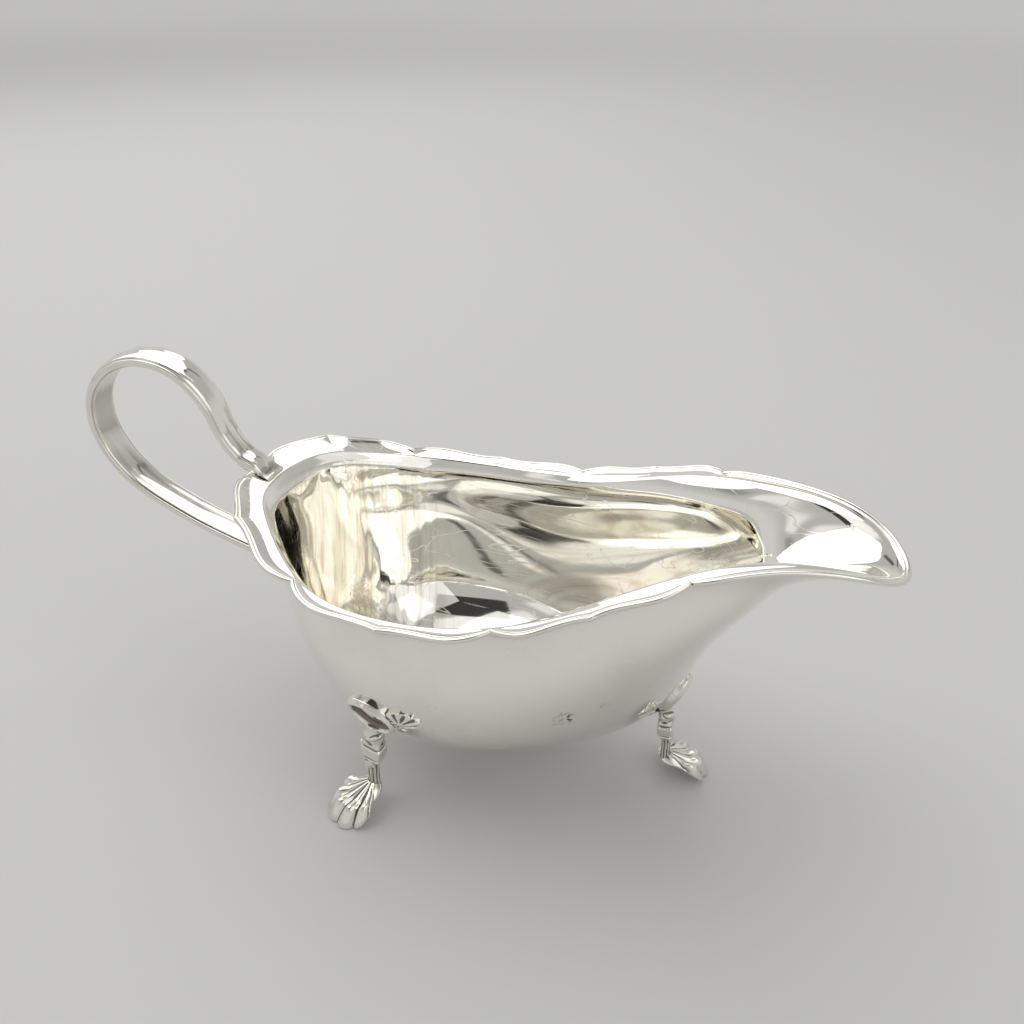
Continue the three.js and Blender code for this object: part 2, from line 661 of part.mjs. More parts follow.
// The shell: flutes fan out from its hinge to a scalloped edge on the table, its back stands clear.
// across gives the place within the fan, from -1 to 1; past it the outline turns in to the heel
function shellSolid(hinge, forward, side) {
  const half = THREE.MathUtils.degToRad(SHELL_SPREAD / 2);
  const turns = [];
  const fanSteps = SHELL_FLUTES * FLUTE_STEPS;
  for (let k = 0; k < fanSteps; k++) turns.push(lerp(-half, half, k / fanSteps));
  for (let k = 0; k < HEEL_STEPS; k++) turns.push(lerp(half, 2 * Math.PI - half, k / HEEL_STEPS));
  const bulge = (turn) => {
    if (turn > half) return 0;
    const place = ((turn / half + 1) / 2) * SHELL_FLUTES;
    const inFlute = 2 * (place - Math.floor(place)) - 1;
    return Math.sqrt(1 - inFlute ** 2) - 1;
  };
  const outline = turns.map((turn) => {
    const across = turn > half ? 1 : Math.abs(turn) / half;
    const behind = turn > half ? Math.sin(((turn - half) / (2 * Math.PI - 2 * half)) * Math.PI) : 0;
    const reach = SHELL_REACH * (1 - SHELL_CUTBACK * across ** 2);
    return lerp(reach, HEEL_RADIUS, behind ** HEEL_SQUARENESS) + FLUTE_DEPTH * bulge(turn);
  });
  const rings = [[hinge.clone().setZ(SHELL_HEIGHT)]];
  for (let step = 1; step <= SHELL_STEPS; step++) {
    const share = step / SHELL_STEPS;
    rings.push(turns.map((turn, i) => {
      const reach = outline[i] * share;
      const point = hinge.clone();
      point.addScaledVector(forward, reach * Math.cos(turn)).addScaledVector(side, reach * Math.sin(turn));
      const lift = HEEL_LIFT * (1 - ease((outline[i] * Math.cos(turn) + HEEL_RADIUS) / SHELL_REACH));
      const crest = (1 - SHELL_SLOPE * share) * Math.sqrt(1 - share ** SHELL_ROUNDING);
      const groove = FLUTE_DEPTH * bulge(turn) * Math.sin(Math.PI * share) * share;
      return point.setZ(lift + (SHELL_HEIGHT - lift) * crest + groove);
    }));
  }
  rings.push([hinge.clone().addScaledVector(forward, SHELL_REACH * SOLE_PLACE).setZ(0)]);
  return toSolid(loft(rings));
}

function footSolid(knee) {
  const spring = overWall(knee, knee.legPlace, 0, 0);
  const out = overWall(knee, knee.legPlace, 0, 1).sub(spring).setZ(0).normalize();
  const forward = out.clone().applyAxisAngle(UP, THREE.MathUtils.degToRad(knee.turn));
  const side = new THREE.Vector3(-forward.y, forward.x, 0);
  const aft = new THREE.Vector3(-out.y, out.x, 0);
  const ankle = spring.clone().addScaledVector(out, knee.ankleOut).addScaledVector(aft, knee.ankleAft);
  ankle.setZ(ANKLE_HEIGHT);
  const hinge = ankle.clone().setZ(0);
  const root = spring.clone().setZ(spring.z + COLLAR.radius);
  const shin = spring.clone().lerp(ankle, 0.5);
  const heel = ankle.clone().setZ(SHELL_HEIGHT - HEEL_RADIUS);
  const legCurve = new THREE.CatmullRomCurve3([root, shin, ankle, heel]);
  const swell = (along, { along: place, reach }) => Math.exp(-(((along - place) / reach) ** 2));
  const leg = toSolid(bar(legCurve, LEG_STEPS, LEG_SIDES, (along) => (
    LEG_RADIUS
    + (COLLAR.radius - LEG_RADIUS) * swell(along, COLLAR)
    + (KNUCKLE.radius - LEG_RADIUS) * swell(along, KNUCKLE)
  )));
  return leg
    .add(kneeSolid(knee))
    .add(leafSolid(knee))
    .add(shellSolid(hinge, forward, side))
    .subtract(boat);
}

const group = new THREE.Group();
function addPiece(name, geometry, material) {
  const mesh = new THREE.Mesh(geometry, material);
  mesh.name = name;
  group.add(mesh);
  return mesh;
}

const boat = filledBoat(SEAT_GAP);

addPiece('bowl', loft(bowlRings()), silver());
addPiece('edge_wire', wireGeometry(), silver());
addPiece('handle', toGeometry(handleSolid().subtract(boat)), castSilver());
addPiece('foot_front', toGeometry(footSolid(FORE_KNEE)), castSilver());
addPiece('foot_rear_left', toGeometry(footSolid(REAR_KNEE)), castSilver());
const mirroredKnee = {
  ...REAR_KNEE,
  angle: -REAR_KNEE.angle,
  lean: -REAR_KNEE.lean,
  leafLean: -REAR_KNEE.leafLean,
  ankleAft: -REAR_KNEE.ankleAft,
  turn: -REAR_KNEE.turn,
};
addPiece('foot_rear_right', toGeometry(footSolid(mirroredKnee)), castSilver());

// The origin lies on the table, under the middle of the whole boat
const extent = new THREE.Box3().setFromObject(group);
group.position.x = -(extent.min.x + extent.max.x) / 2;

export default group;
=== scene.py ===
"""Dresses the footed silver sauce boat: raised bowl, edge wire, loop handle and three cast feet."""

import logging
import math
from collections.abc import Callable, Sequence
from dataclasses import dataclass, field, replace
from enum import Enum
from typing import Any

import bpy
import numpy as np
from mathutils import Matrix, Vector


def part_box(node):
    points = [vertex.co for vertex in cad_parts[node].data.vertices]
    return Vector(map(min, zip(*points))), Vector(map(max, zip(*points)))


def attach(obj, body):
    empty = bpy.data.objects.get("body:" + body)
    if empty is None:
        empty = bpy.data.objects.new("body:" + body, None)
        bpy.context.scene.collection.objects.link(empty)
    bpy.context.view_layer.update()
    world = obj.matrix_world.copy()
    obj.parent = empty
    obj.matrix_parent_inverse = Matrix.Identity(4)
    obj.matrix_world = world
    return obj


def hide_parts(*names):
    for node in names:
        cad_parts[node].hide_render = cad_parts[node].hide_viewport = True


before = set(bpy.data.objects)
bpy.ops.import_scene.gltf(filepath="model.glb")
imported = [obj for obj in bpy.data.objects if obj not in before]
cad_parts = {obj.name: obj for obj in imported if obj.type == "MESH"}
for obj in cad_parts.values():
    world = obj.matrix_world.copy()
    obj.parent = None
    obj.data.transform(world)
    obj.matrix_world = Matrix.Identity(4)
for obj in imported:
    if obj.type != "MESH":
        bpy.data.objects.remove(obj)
LOG = logging.getLogger("sauce_boat")
MM = 0.001
NUDGE = 1e-3
TINY = 1e-9
LEAST_NORMAL = 1e-12
LEAST_SPAN = 1e-6
ACROSS_STERN = (0.95, 0.31)
Array = np.ndarray


class Slot(Enum):
    """Material slots of the record."""

    SHEET = "sheet_silver"
    CAST = "cast_silver"


class Side(Enum):
    """Sides of the boat, seen from the handle toward the spout."""

    MIDDLE = 0
    LEFT = 1
    RIGHT = -1


def ease(share: Any) -> Array:
    """Smooth step with a flat start and end."""
    t = np.clip(np.asarray(share, float), 0.0, 1.0)
    return t * t * t * (10.0 - 15.0 * t + 6.0 * t * t)


def lerp(start: Any, end: Any, share: Any) -> Any:
    """Value between start and end."""
    return start + (end - start) * share


def unit(vectors: Array) -> Array:
    """Vectors scaled to length one along their last axis."""
    return vectors / np.linalg.norm(vectors, axis=-1, keepdims=True)


def bump(place: Any, middle: float, reach: float) -> Array:
    """Bell that is one at its middle and fades over its reach."""
    return np.exp(-(((np.asarray(place, float) - middle) / reach) ** 2))


def round_turns(count: int) -> Array:
    """Angles evenly round a circle."""
    return np.linspace(0.0, 2 * np.pi, count, endpoint=False)


def bezier(start: Array, first: Array, second: Array, end: Array, share: float) -> Array:
    """Point of a cubic Bezier curve at a share of its way."""
    back = 1.0 - share
    return (
        start * back**3
        + first * 3.0 * back**2 * share
        + second * 3.0 * back * share**2
        + end * share**3
    )


class CubicSpline:
    """Cubic spline through knots, with a given slope or none at each end."""

    def __init__(
        self,
        knots: Sequence[float],
        values: Sequence[float],
        start: float | None = None,
        end: float | None = None,
    ) -> None:
        """Solves the spline.

        Args:
            knots: Rising places.
            values: Value at each knot.
            start: Slope at the first knot, or None where it is free.
            end: Slope at the last knot, or None where it is free.
        """
        self.x = np.asarray(knots, float)
        self.y = np.asarray(values, float)
        count = len(self.x)
        self.h = np.diff(self.x)
        rise = np.diff(self.y) / self.h
        matrix = np.zeros((count, count))
        right = np.zeros(count)
        for i in range(1, count - 1):
            matrix[i, i - 1 : i + 2] = (
                self.h[i - 1],
                2.0 * (self.h[i - 1] + self.h[i]),
                self.h[i],
            )
            right[i] = 6.0 * (rise[i] - rise[i - 1])
        matrix[0, 0] = matrix[-1, -1] = 1.0
        if start is not None:
            matrix[0, :2] = (2.0 * self.h[0], self.h[0])
            right[0] = 6.0 * (rise[0] - start)
        if end is not None:
            matrix[-1, -2:] = (self.h[-1], 2.0 * self.h[-1])
            right[-1] = 6.0 * (end - rise[-1])
        self.bend = np.linalg.solve(matrix, right)

    def __call__(self, place: Any) -> Array:
        """Value of the spline.

        Args:
            place: One place or many.

        Returns:
            Value at each place.
        """
        x = np.asarray(place, float)
        i = np.clip(np.searchsorted(self.x, x) - 1, 0, len(self.x) - 2)
        before = self.x[i + 1] - x
        after = x - self.x[i]
        h = self.h[i]
        cubic = (self.bend[i] * before**3 + self.bend[i + 1] * after**3) / (6.0 * h)
        left = (self.y[i] / h - self.bend[i] * h / 6.0) * before
        return cubic + left + (self.y[i + 1] / h - self.bend[i + 1] * h / 6.0) * after


class Path:
    """Smooth path through points, measured by its own length."""

    def __init__(self, points: Sequence[Sequence[float]], fineness: int = 40) -> None:
        """Fits a centripetal curve through the points.

        Args:
            points: Points in order.
            fineness: Steps between two points while it is measured.
        """
        knots = np.asarray(points, float)
        ends = [2 * knots[0] - knots[1], *knots, 2 * knots[-1] - knots[-2]]
        traced = [self._piece(ends[i : i + 4], fineness) for i in range(len(knots) - 1)]
        self.points = np.concatenate([*traced, knots[-1:]])
        steps = np.linalg.norm(np.diff(self.points, axis=0), axis=1)
        self.places = np.concatenate([[0.0], np.cumsum(steps)])
        self.length = float(self.places[-1])

    @staticmethod
    def _piece(corners: Sequence[Array], fineness: int) -> Array:
        """Points of one centripetal Catmull-Rom piece.

        Args:
            corners: The four points that shape it.
            fineness: Number of points.

        Returns:
            Points from the second corner up to the third, without the third.
        """
        p0, p1, p2, p3 = corners
        legs = (p1 - p0, p2 - p1, p3 - p2)
        s0, s1, s2 = (max(float(np.linalg.norm(leg)) ** 0.5, LEAST_SPAN) for leg in legs)
        first = (legs[0] / s0 - (p2 - p0) / (s0 + s1) + legs[1] / s1) * s1
        last = (legs[1] / s1 - (p3 - p1) / (s1 + s2) + legs[2] / s2) * s1
        t = np.linspace(0.0, 1.0, fineness, endpoint=False)[:, None]
        cubic = 2 * p1 - 2 * p2 + first + last
        square = -3 * p1 + 3 * p2 - 2 * first - last
        return cubic * t**3 + square * t**2 + first * t + p1

    def at(self, share: Any) -> Array:
        """Points at shares of the length."""
        place = np.asarray(share, float) * self.length
        return np.stack([np.interp(place, self.places, self.points[:, k]) for k in range(3)], -1)

    def tangent(self, share: Any, reach: float = 0.004) -> Array:
        """Directions along the path at shares of the length."""
        s = np.asarray(share, float)
        return unit(self.at(np.clip(s + reach, 0, 1)) - self.at(np.clip(s - reach, 0, 1)))


class Shell:
    """Corners and faces of one closed surface that is built up from rings."""

    def __init__(self) -> None:
        """Starts an empty surface."""
        self.corners: list[Array] = []
        self.faces: list[tuple[int, ...]] = []
        self.count = 0

    def ring(self, points: Array) -> Array:
        """Adds the corners of a ring.

        Args:
            points: Points of the ring, or the one point of a pole.

        Returns:
            The corners' numbers.
        """
        points = np.atleast_2d(points)
        numbers = np.arange(self.count, self.count + len(points))
        self.corners.append(points)
        self.count += len(points)
        return numbers

    def loft(self, rings: Sequence[Array]) -> None:
        """Joins rings of equal count into a closed skin.

        Args:
            rings: Rings in order; a ring of one point is a pole, and open ends are capped.
        """
        numbers = [self.ring(points) for points in rings]
        start = len(self.faces)
        for lower, upper in zip(numbers, numbers[1:]):
            self._join(lower, upper)
        for ring, turned in ((0, False), (-1, True)):
            if len(numbers[ring]) > 1:
                self._cap(numbers[ring], rings[ring], turned)
        self._face_out(start)

    def _join(self, lower: Array, upper: Array) -> None:
        """Puts faces between two rings, or between a ring and a pole.

        Args:
            lower: Corner numbers of the first ring.
            upper: Corner numbers of the ring after it.
        """
        a, b = lower.tolist(), np.roll(lower, -1).tolist()
        c, d = upper.tolist(), np.roll(upper, -1).tolist()
        if len(a) > 1 and len(c) > 1:
            self.faces.extend(zip(a, b, d, c))
        elif len(a) > 1:
            self.faces.extend((this, after, c[0]) for this, after in zip(a, b))
        elif len(c) > 1:
            self.faces.extend((a[0], after, this) for this, after in zip(c, d))

    def _cap(self, numbers: Array, points: Array, turned: bool) -> None:
        """Closes a ring with a fan round its middle.

        Args:
            numbers: Corner numbers of the ring.
            points: Its points.
            turned: Whether the fan runs the other way round.
        """
        hub = int(self.ring(points.mean(axis=0))[0])
        after = np.roll(numbers, -1)
        for a, b in zip(numbers.tolist(), after.tolist()):
            self.faces.append((hub, a, b) if turned else (hub, b, a))

    def _face_out(self, start: int) -> None:
        """Turns the faces from a number on, if they enclose less than nothing.

        Args:
            start: Number of the first of these faces.
        """
        points = np.concatenate(self.corners)
        volume = 0.0
        for face in self.faces[start:]:
            for k in range(1, len(face) - 1):
                a, b, c = points[face[0]], points[face[k]], points[face[k + 1]]
                volume += a[0] * (b[1] * c[2] - b[2] * c[1])
                volume += a[1] * (b[2] * c[0] - b[0] * c[2]) + a[2] * (b[0] * c[1] - b[1] * c[0])
        if volume < 0:
            self.faces[start:] = [face[::-1] for face in self.faces[start:]]

    def object(self, name: str) -> bpy.types.Object:
        """Makes a smooth Blender object of the surface, in metres.

        Args:
            name: Name of the object.

        Returns:
            The new object, linked to the scene.
        """
        mesh = bpy.data.meshes.new(name)
        mesh.from_pydata((np.concatenate(self.corners) * MM).tolist(), [], self.faces)
        mesh.shade_smooth()
        piece = bpy.data.objects.new(name, mesh)
        bpy.context.scene.collection.objects.link(piece)
        return piece


def bake_modifiers(piece: bpy.types.Object) -> None:
    """Turns a piece with its modifiers into a plain smooth mesh.

    Args:
        piece: The piece, whose modifiers are taken off.
    """
    graph = bpy.context.evaluated_depsgraph_get()
    shaped = piece.evaluated_get(graph)
    mesh = bpy.data.meshes.new_from_object(shaped, preserve_all_data_layers=True, depsgraph=graph)
    piece.modifiers.clear()
    piece.data = mesh
    mesh.name = piece.name
    mesh.shade_smooth()


def mark_hollows(piece: bpy.types.Object, rounds: int, full: float) -> None:
    """Stores how deep each corner lies in a groove, as the attribute hollow.

    Args:
        piece: The piece, a plain mesh.
        rounds: How often the measure is spread to its neighbours.
        full: Depth in metres, over one edge's length, that counts as wholly hollow.
    """
    mesh = piece.data
    count = len(mesh.vertices)
    points = np.empty(count * 3)
    normals = np.empty(count * 3)
    mesh.vertices.foreach_get("co", points)
    mesh.vertices.foreach_get("normal", normals)
    points, normals = points.reshape(-1, 3), normals.reshape(-1, 3)
    edges = np.empty(len(mesh.edges) * 2, int)
    mesh.edges.foreach_get("vertices", edges)
    a, b = edges.reshape(-1, 2).T
    share = np.maximum(np.bincount(a, minlength=count) + np.bincount(b, minlength=count), 1)

    def around(values: Array) -> Array:
        """Mean of the neighbours' values."""
        total = np.bincount(a, weights=values[b], minlength=count)
        return (total + np.bincount(b, weights=values[a], minlength=count)) / share

    middle = np.stack([around(points[:, k]) for k in range(3)], -1)
    depth = ((middle - points) * normals).sum(axis=1)
    for _ in range(rounds):
        depth = 0.5 * depth + 0.5 * around(depth)
    layer = mesh.attributes.new("hollow", "FLOAT", "POINT")
    layer.data.foreach_set("value", np.clip(depth / full, -1.0, 1.0).astype(np.float32))


class Wire:
    """An output socket that takes part in sums, products and soft steps."""

    def __init__(self, bench: "Bench", socket: bpy.types.NodeSocket) -> None:
        """Wraps a socket of the bench's tree."""
        self.bench = bench
        self.socket = socket

    def _math(self, operation: str, *values: Any) -> "Wire":
        """Adds a Math node with an operation."""
        inputs = dict(enumerate(values))
        return self.bench.add("ShaderNodeMath", {"operation": operation}, inputs)

    def __add__(self, other: Any) -> "Wire":
        """Sum."""
        return self._math("ADD", self, other)

    def __radd__(self, other: Any) -> "Wire":
        """Sum with the number in front."""
        return self._math("ADD", other, self)

    def __sub__(self, other: Any) -> "Wire":
        """Difference."""
        return self._math("SUBTRACT", self, other)

    def __rsub__(self, other: Any) -> "Wire":
        """Difference with the number in front."""
        return self._math("SUBTRACT", other, self)

    def __mul__(self, other: Any) -> "Wire":
        """Product."""
        return self._math("MULTIPLY", self, other)

    def __rmul__(self, other: Any) -> "Wire":
        """Product with the number in front."""
        return self._math("MULTIPLY", other, self)

    def __truediv__(self, other: Any) -> "Wire":
        """Quotient."""
        return self._math("DIVIDE", self, other)

    def __rtruediv__(self, other: Any) -> "Wire":
        """Quotient with the number in front."""
        return self._math("DIVIDE", other, self)

    def __abs__(self) -> "Wire":
        """Value without its sign."""
        return self._math("ABSOLUTE", self)

    def within(self, low: float, high: float) -> "Wire":
        """Soft step between two levels.

        Args:
            low: Level at which the step is zero.
            high: Level at which the step is one, which may be the lower of the two.

        Returns:
            Value from zero to one.
        """
        settings = {"interpolation_type": "SMOOTHSTEP"}
        ends = {0: self, 1: min(low, high), 2: max(low, high)}
        ends.update({3: 0.0, 4: 1.0} if low < high else {3: 1.0, 4: 0.0})
        return self.bench.add("ShaderNodeMapRange", settings, ends)

    def largest(self, other: Any) -> "Wire":
        """The greater of two values."""
        return self._math("MAXIMUM", self, other)

    def smallest(self, other: Any) -> "Wire":
        """The lesser of two values."""
        return self._math("MINIMUM", self, other)

    def part(self, name: str) -> "Wire":
        """Another output of the node that this one comes from."""
        return Wire(self.bench, self.socket.node.outputs[name])


class Bench:
    """Adds nodes to one node tree."""

    def __init__(self, tree: bpy.types.NodeTree) -> None:
        """Starts with an empty tree."""
        self.tree = tree
        tree.nodes.clear()

    def add(
        self,
        kind: str,
        settings: dict[str, Any] | None = None,
        inputs: dict[Any, Any] | None = None,
        output: str | int = 0,
    ) -> Wire:
        """Adds one node.

        Args:
            kind: Type of the node.
            settings: Its settings, such as an operation, which are set before its sockets.
            inputs: Values or wires of its sockets, by name or number.
            output: Name or number of the output that is handed back.

        Returns:
            The output, or an empty wire where the node has none.
        """
        node = self.tree.nodes.new(kind)
        for name, value in (settings or {}).items():
            setattr(node, name, value)
        for name, value in (inputs or {}).items():
            self._feed(node.inputs[name], value)
        return Wire(self, node.outputs[output]) if node.outputs else Wire(self, None)

    def _feed(self, socket: bpy.types.NodeSocket, value: Any) -> None:
        """Links a wire to a socket, or sets the socket to a value."""
        if isinstance(value, Wire):
            self.tree.links.new(value.socket, socket)
        elif isinstance(value, tuple) and socket.type == "RGBA" and len(value) == 3:
            socket.default_value = (*value, 1.0)
        else:
            socket.default_value = value

    def noise(self, place: Wire, scale: float, detail: float = 2.0, **more: float) -> Wire:
        """Noise over a place.

        Args:
            place: Coordinates.
            scale: Waves per unit.
            detail: Octaves.
            more: Other sockets of the Noise node, by name.

        Returns:
            Value about 0.5.
        """
        sockets = {"Vector": place, "Scale": scale, "Detail": detail, **more}
        return self.add("ShaderNodeTexNoise", {}, sockets, "Fac")

    def attribute(self, name: str) -> Wire:
        """Value that a mesh stores under a name."""
        return self.add("ShaderNodeAttribute", {"attribute_name": name}, {}, "Fac")

    def mapped(
        self,
        place: Wire,
        scale: tuple[float, float, float] = (1.0, 1.0, 1.0),
        turn: tuple[float, float, float] = (0.0, 0.0, 0.0),
        shift: tuple[float, float, float] = (0.0, 0.0, 0.0),
    ) -> Wire:
        """Place that is scaled, turned and shifted.

        Args:
            place: Coordinates.
            scale: Factor along each axis.
            turn: Angle round each axis.
            shift: Distance along each axis.

        Returns:
            The new coordinates.
        """
        sockets = {"Vector": place, "Location": shift, "Rotation": turn, "Scale": scale}
        return self.add("ShaderNodeMapping", {"vector_type": "POINT"}, sockets)

    def mix(self, factor: Any, first: Any, second: Any) -> Wire:
        """Colour between two colours.

        Args:
            factor: Share of the second colour.
            first: The colour where the factor is zero.
            second: The colour where it is one.

        Returns:
            The mixed colour.
        """
        factor_socket, first_socket, second_socket, colour_output = 0, 6, 7, 2
        colours = {factor_socket: factor, first_socket: first, second_socket: second}
        return self.add("ShaderNodeMix", {"data_type": "RGBA"}, colours, colour_output)

    def dot(self, place: Wire, direction: Sequence[float]) -> Wire:
        """Length of a vector along a direction."""
        settings = {"operation": "DOT_PRODUCT"}
        return self.add("ShaderNodeVectorMath", settings, {0: place, 1: tuple(direction)}, "Value")


class Shaping(Bench):
    """A Geometry Nodes tree with named sizes that shapes one piece and gives it its material."""

    def __init__(self, name: str, sizes: dict[str, float]) -> None:
        """Starts the tree.

        Args:
            name: Name of the tree and of its modifier.
            sizes: Its named inputs and their values.
        """
        tree = bpy.data.node_groups.new(name, "GeometryNodeTree")
        super().__init__(tree)
        self.sizes = sizes
        for way in ("INPUT", "OUTPUT"):
            tree.interface.new_socket("Piece", in_out=way, socket_type="NodeSocketGeometry")
        self.sockets = {
            size: tree.interface.new_socket(size, in_out="INPUT", socket_type="NodeSocketFloat")
            for size in sizes
        }
        self.given = self.add("NodeGroupInput", {}, {}, "Piece")

    def apply(self, piece: bpy.types.Object, shape: Wire, material: bpy.types.Material) -> None:
        """Ends the tree and turns the piece into the plain mesh that it makes.

        Args:
            piece: The piece that it shapes.
            shape: The finished geometry.
            material: The material of the whole piece.
        """
        whole = self.add("GeometryNodeRealizeInstances", {}, {"Geometry": shape})
        ends = {"Geometry": whole, "Material": material}
        dressed = self.add("GeometryNodeSetMaterial", {}, ends)
        self.add("NodeGroupOutput", {}, {"Piece": dressed})
        modifier = piece.modifiers.new(self.tree.name, "NODES")
        modifier.node_group = self.tree
        for name, value in self.sizes.items():
            modifier[self.sockets[name].identifier] = float(value)
        bake_modifiers(piece)


def streak_place(bench: Bench, place: Wire, stretch: float) -> Wire:
    """Coordinates for streaks that run across the stern and down its walls.

    Args:
        bench: Where the nodes go.
        place: Position on the piece.
        stretch: How little the streaks change along their length.

    Returns:
        Coordinates that change quickly across the streaks only.
    """
    x, y = ACROSS_STERN
    ways = {"X": (x, y, 0.0), "Y": (-y * stretch, x * stretch, 0.0), "Z": (0.0, 0.0, stretch)}
    parts = {axis: bench.dot(place, way) for axis, way in ways.items()}
    return bench.add("ShaderNodeCombineXYZ", {}, parts)


@dataclass(frozen=True)
class Spot:
    """A soft round mark on a surface."""

    middle: tuple[float, float, float]
    radius: float
    fraying: float = 1.6
    core: float = 0.35

    def mask(self, bench: Bench, place: Wire, ragged: Wire) -> Wire:
        """Mask that is one in the mark.

        Args:
            bench: Where the nodes go.
            place: Object coordinates.
            ragged: Noise that frays its border.

        Returns:
            Value from zero to one.
        """
        settings = {"operation": "DISTANCE"}
        middle = tuple(value * MM for value in self.middle)
        away = bench.add("ShaderNodeVectorMath", settings, {0: place, 1: middle}, "Value")
        frayed = away / (self.radius * MM) + (ragged - 0.5) * self.fraying
        return frayed.within(1.0, self.core)


@dataclass(frozen=True)
class Hairlines:
    """One direction of fine hairlines: its turn, how short its lines are, and its shift."""

    turn: float
    stretch: float
    shift: float
    closeness: float = 160.0
    tilt: float = 0.7
    scale: float = 1.6
    wobble: float = 0.4
    edge: float = 0.012
    core: float = 0.003
    patch_scale: float = 90.0
    patch_step: tuple[float, float] = (0.5, 0.62)

    def mask(self, bench: Bench, place: Wire) -> Wire:
        """Mask that is one on a hairline.

        Args:
            bench: Where the nodes go.
            place: Object coordinates.

        Returns:
            Value from zero to one.
        """
        turn, shift, across = self.turn, self.shift, self.closeness
        turns = (turn, turn * self.tilt, turn)
        laid = bench.mapped(place, (self.stretch, across, across), turns, (shift, 0, shift))
        line = bench.noise(laid, self.scale, detail=1.0, Distortion=self.wobble)
        thin = abs(line - 0.5).within(self.edge, self.core)
        shifted = bench.mapped(place, shift=(shift, shift, 0))
        patch = bench.noise(shifted, self.patch_scale, detail=2.0)
        return thin * patch.within(*self.patch_step)


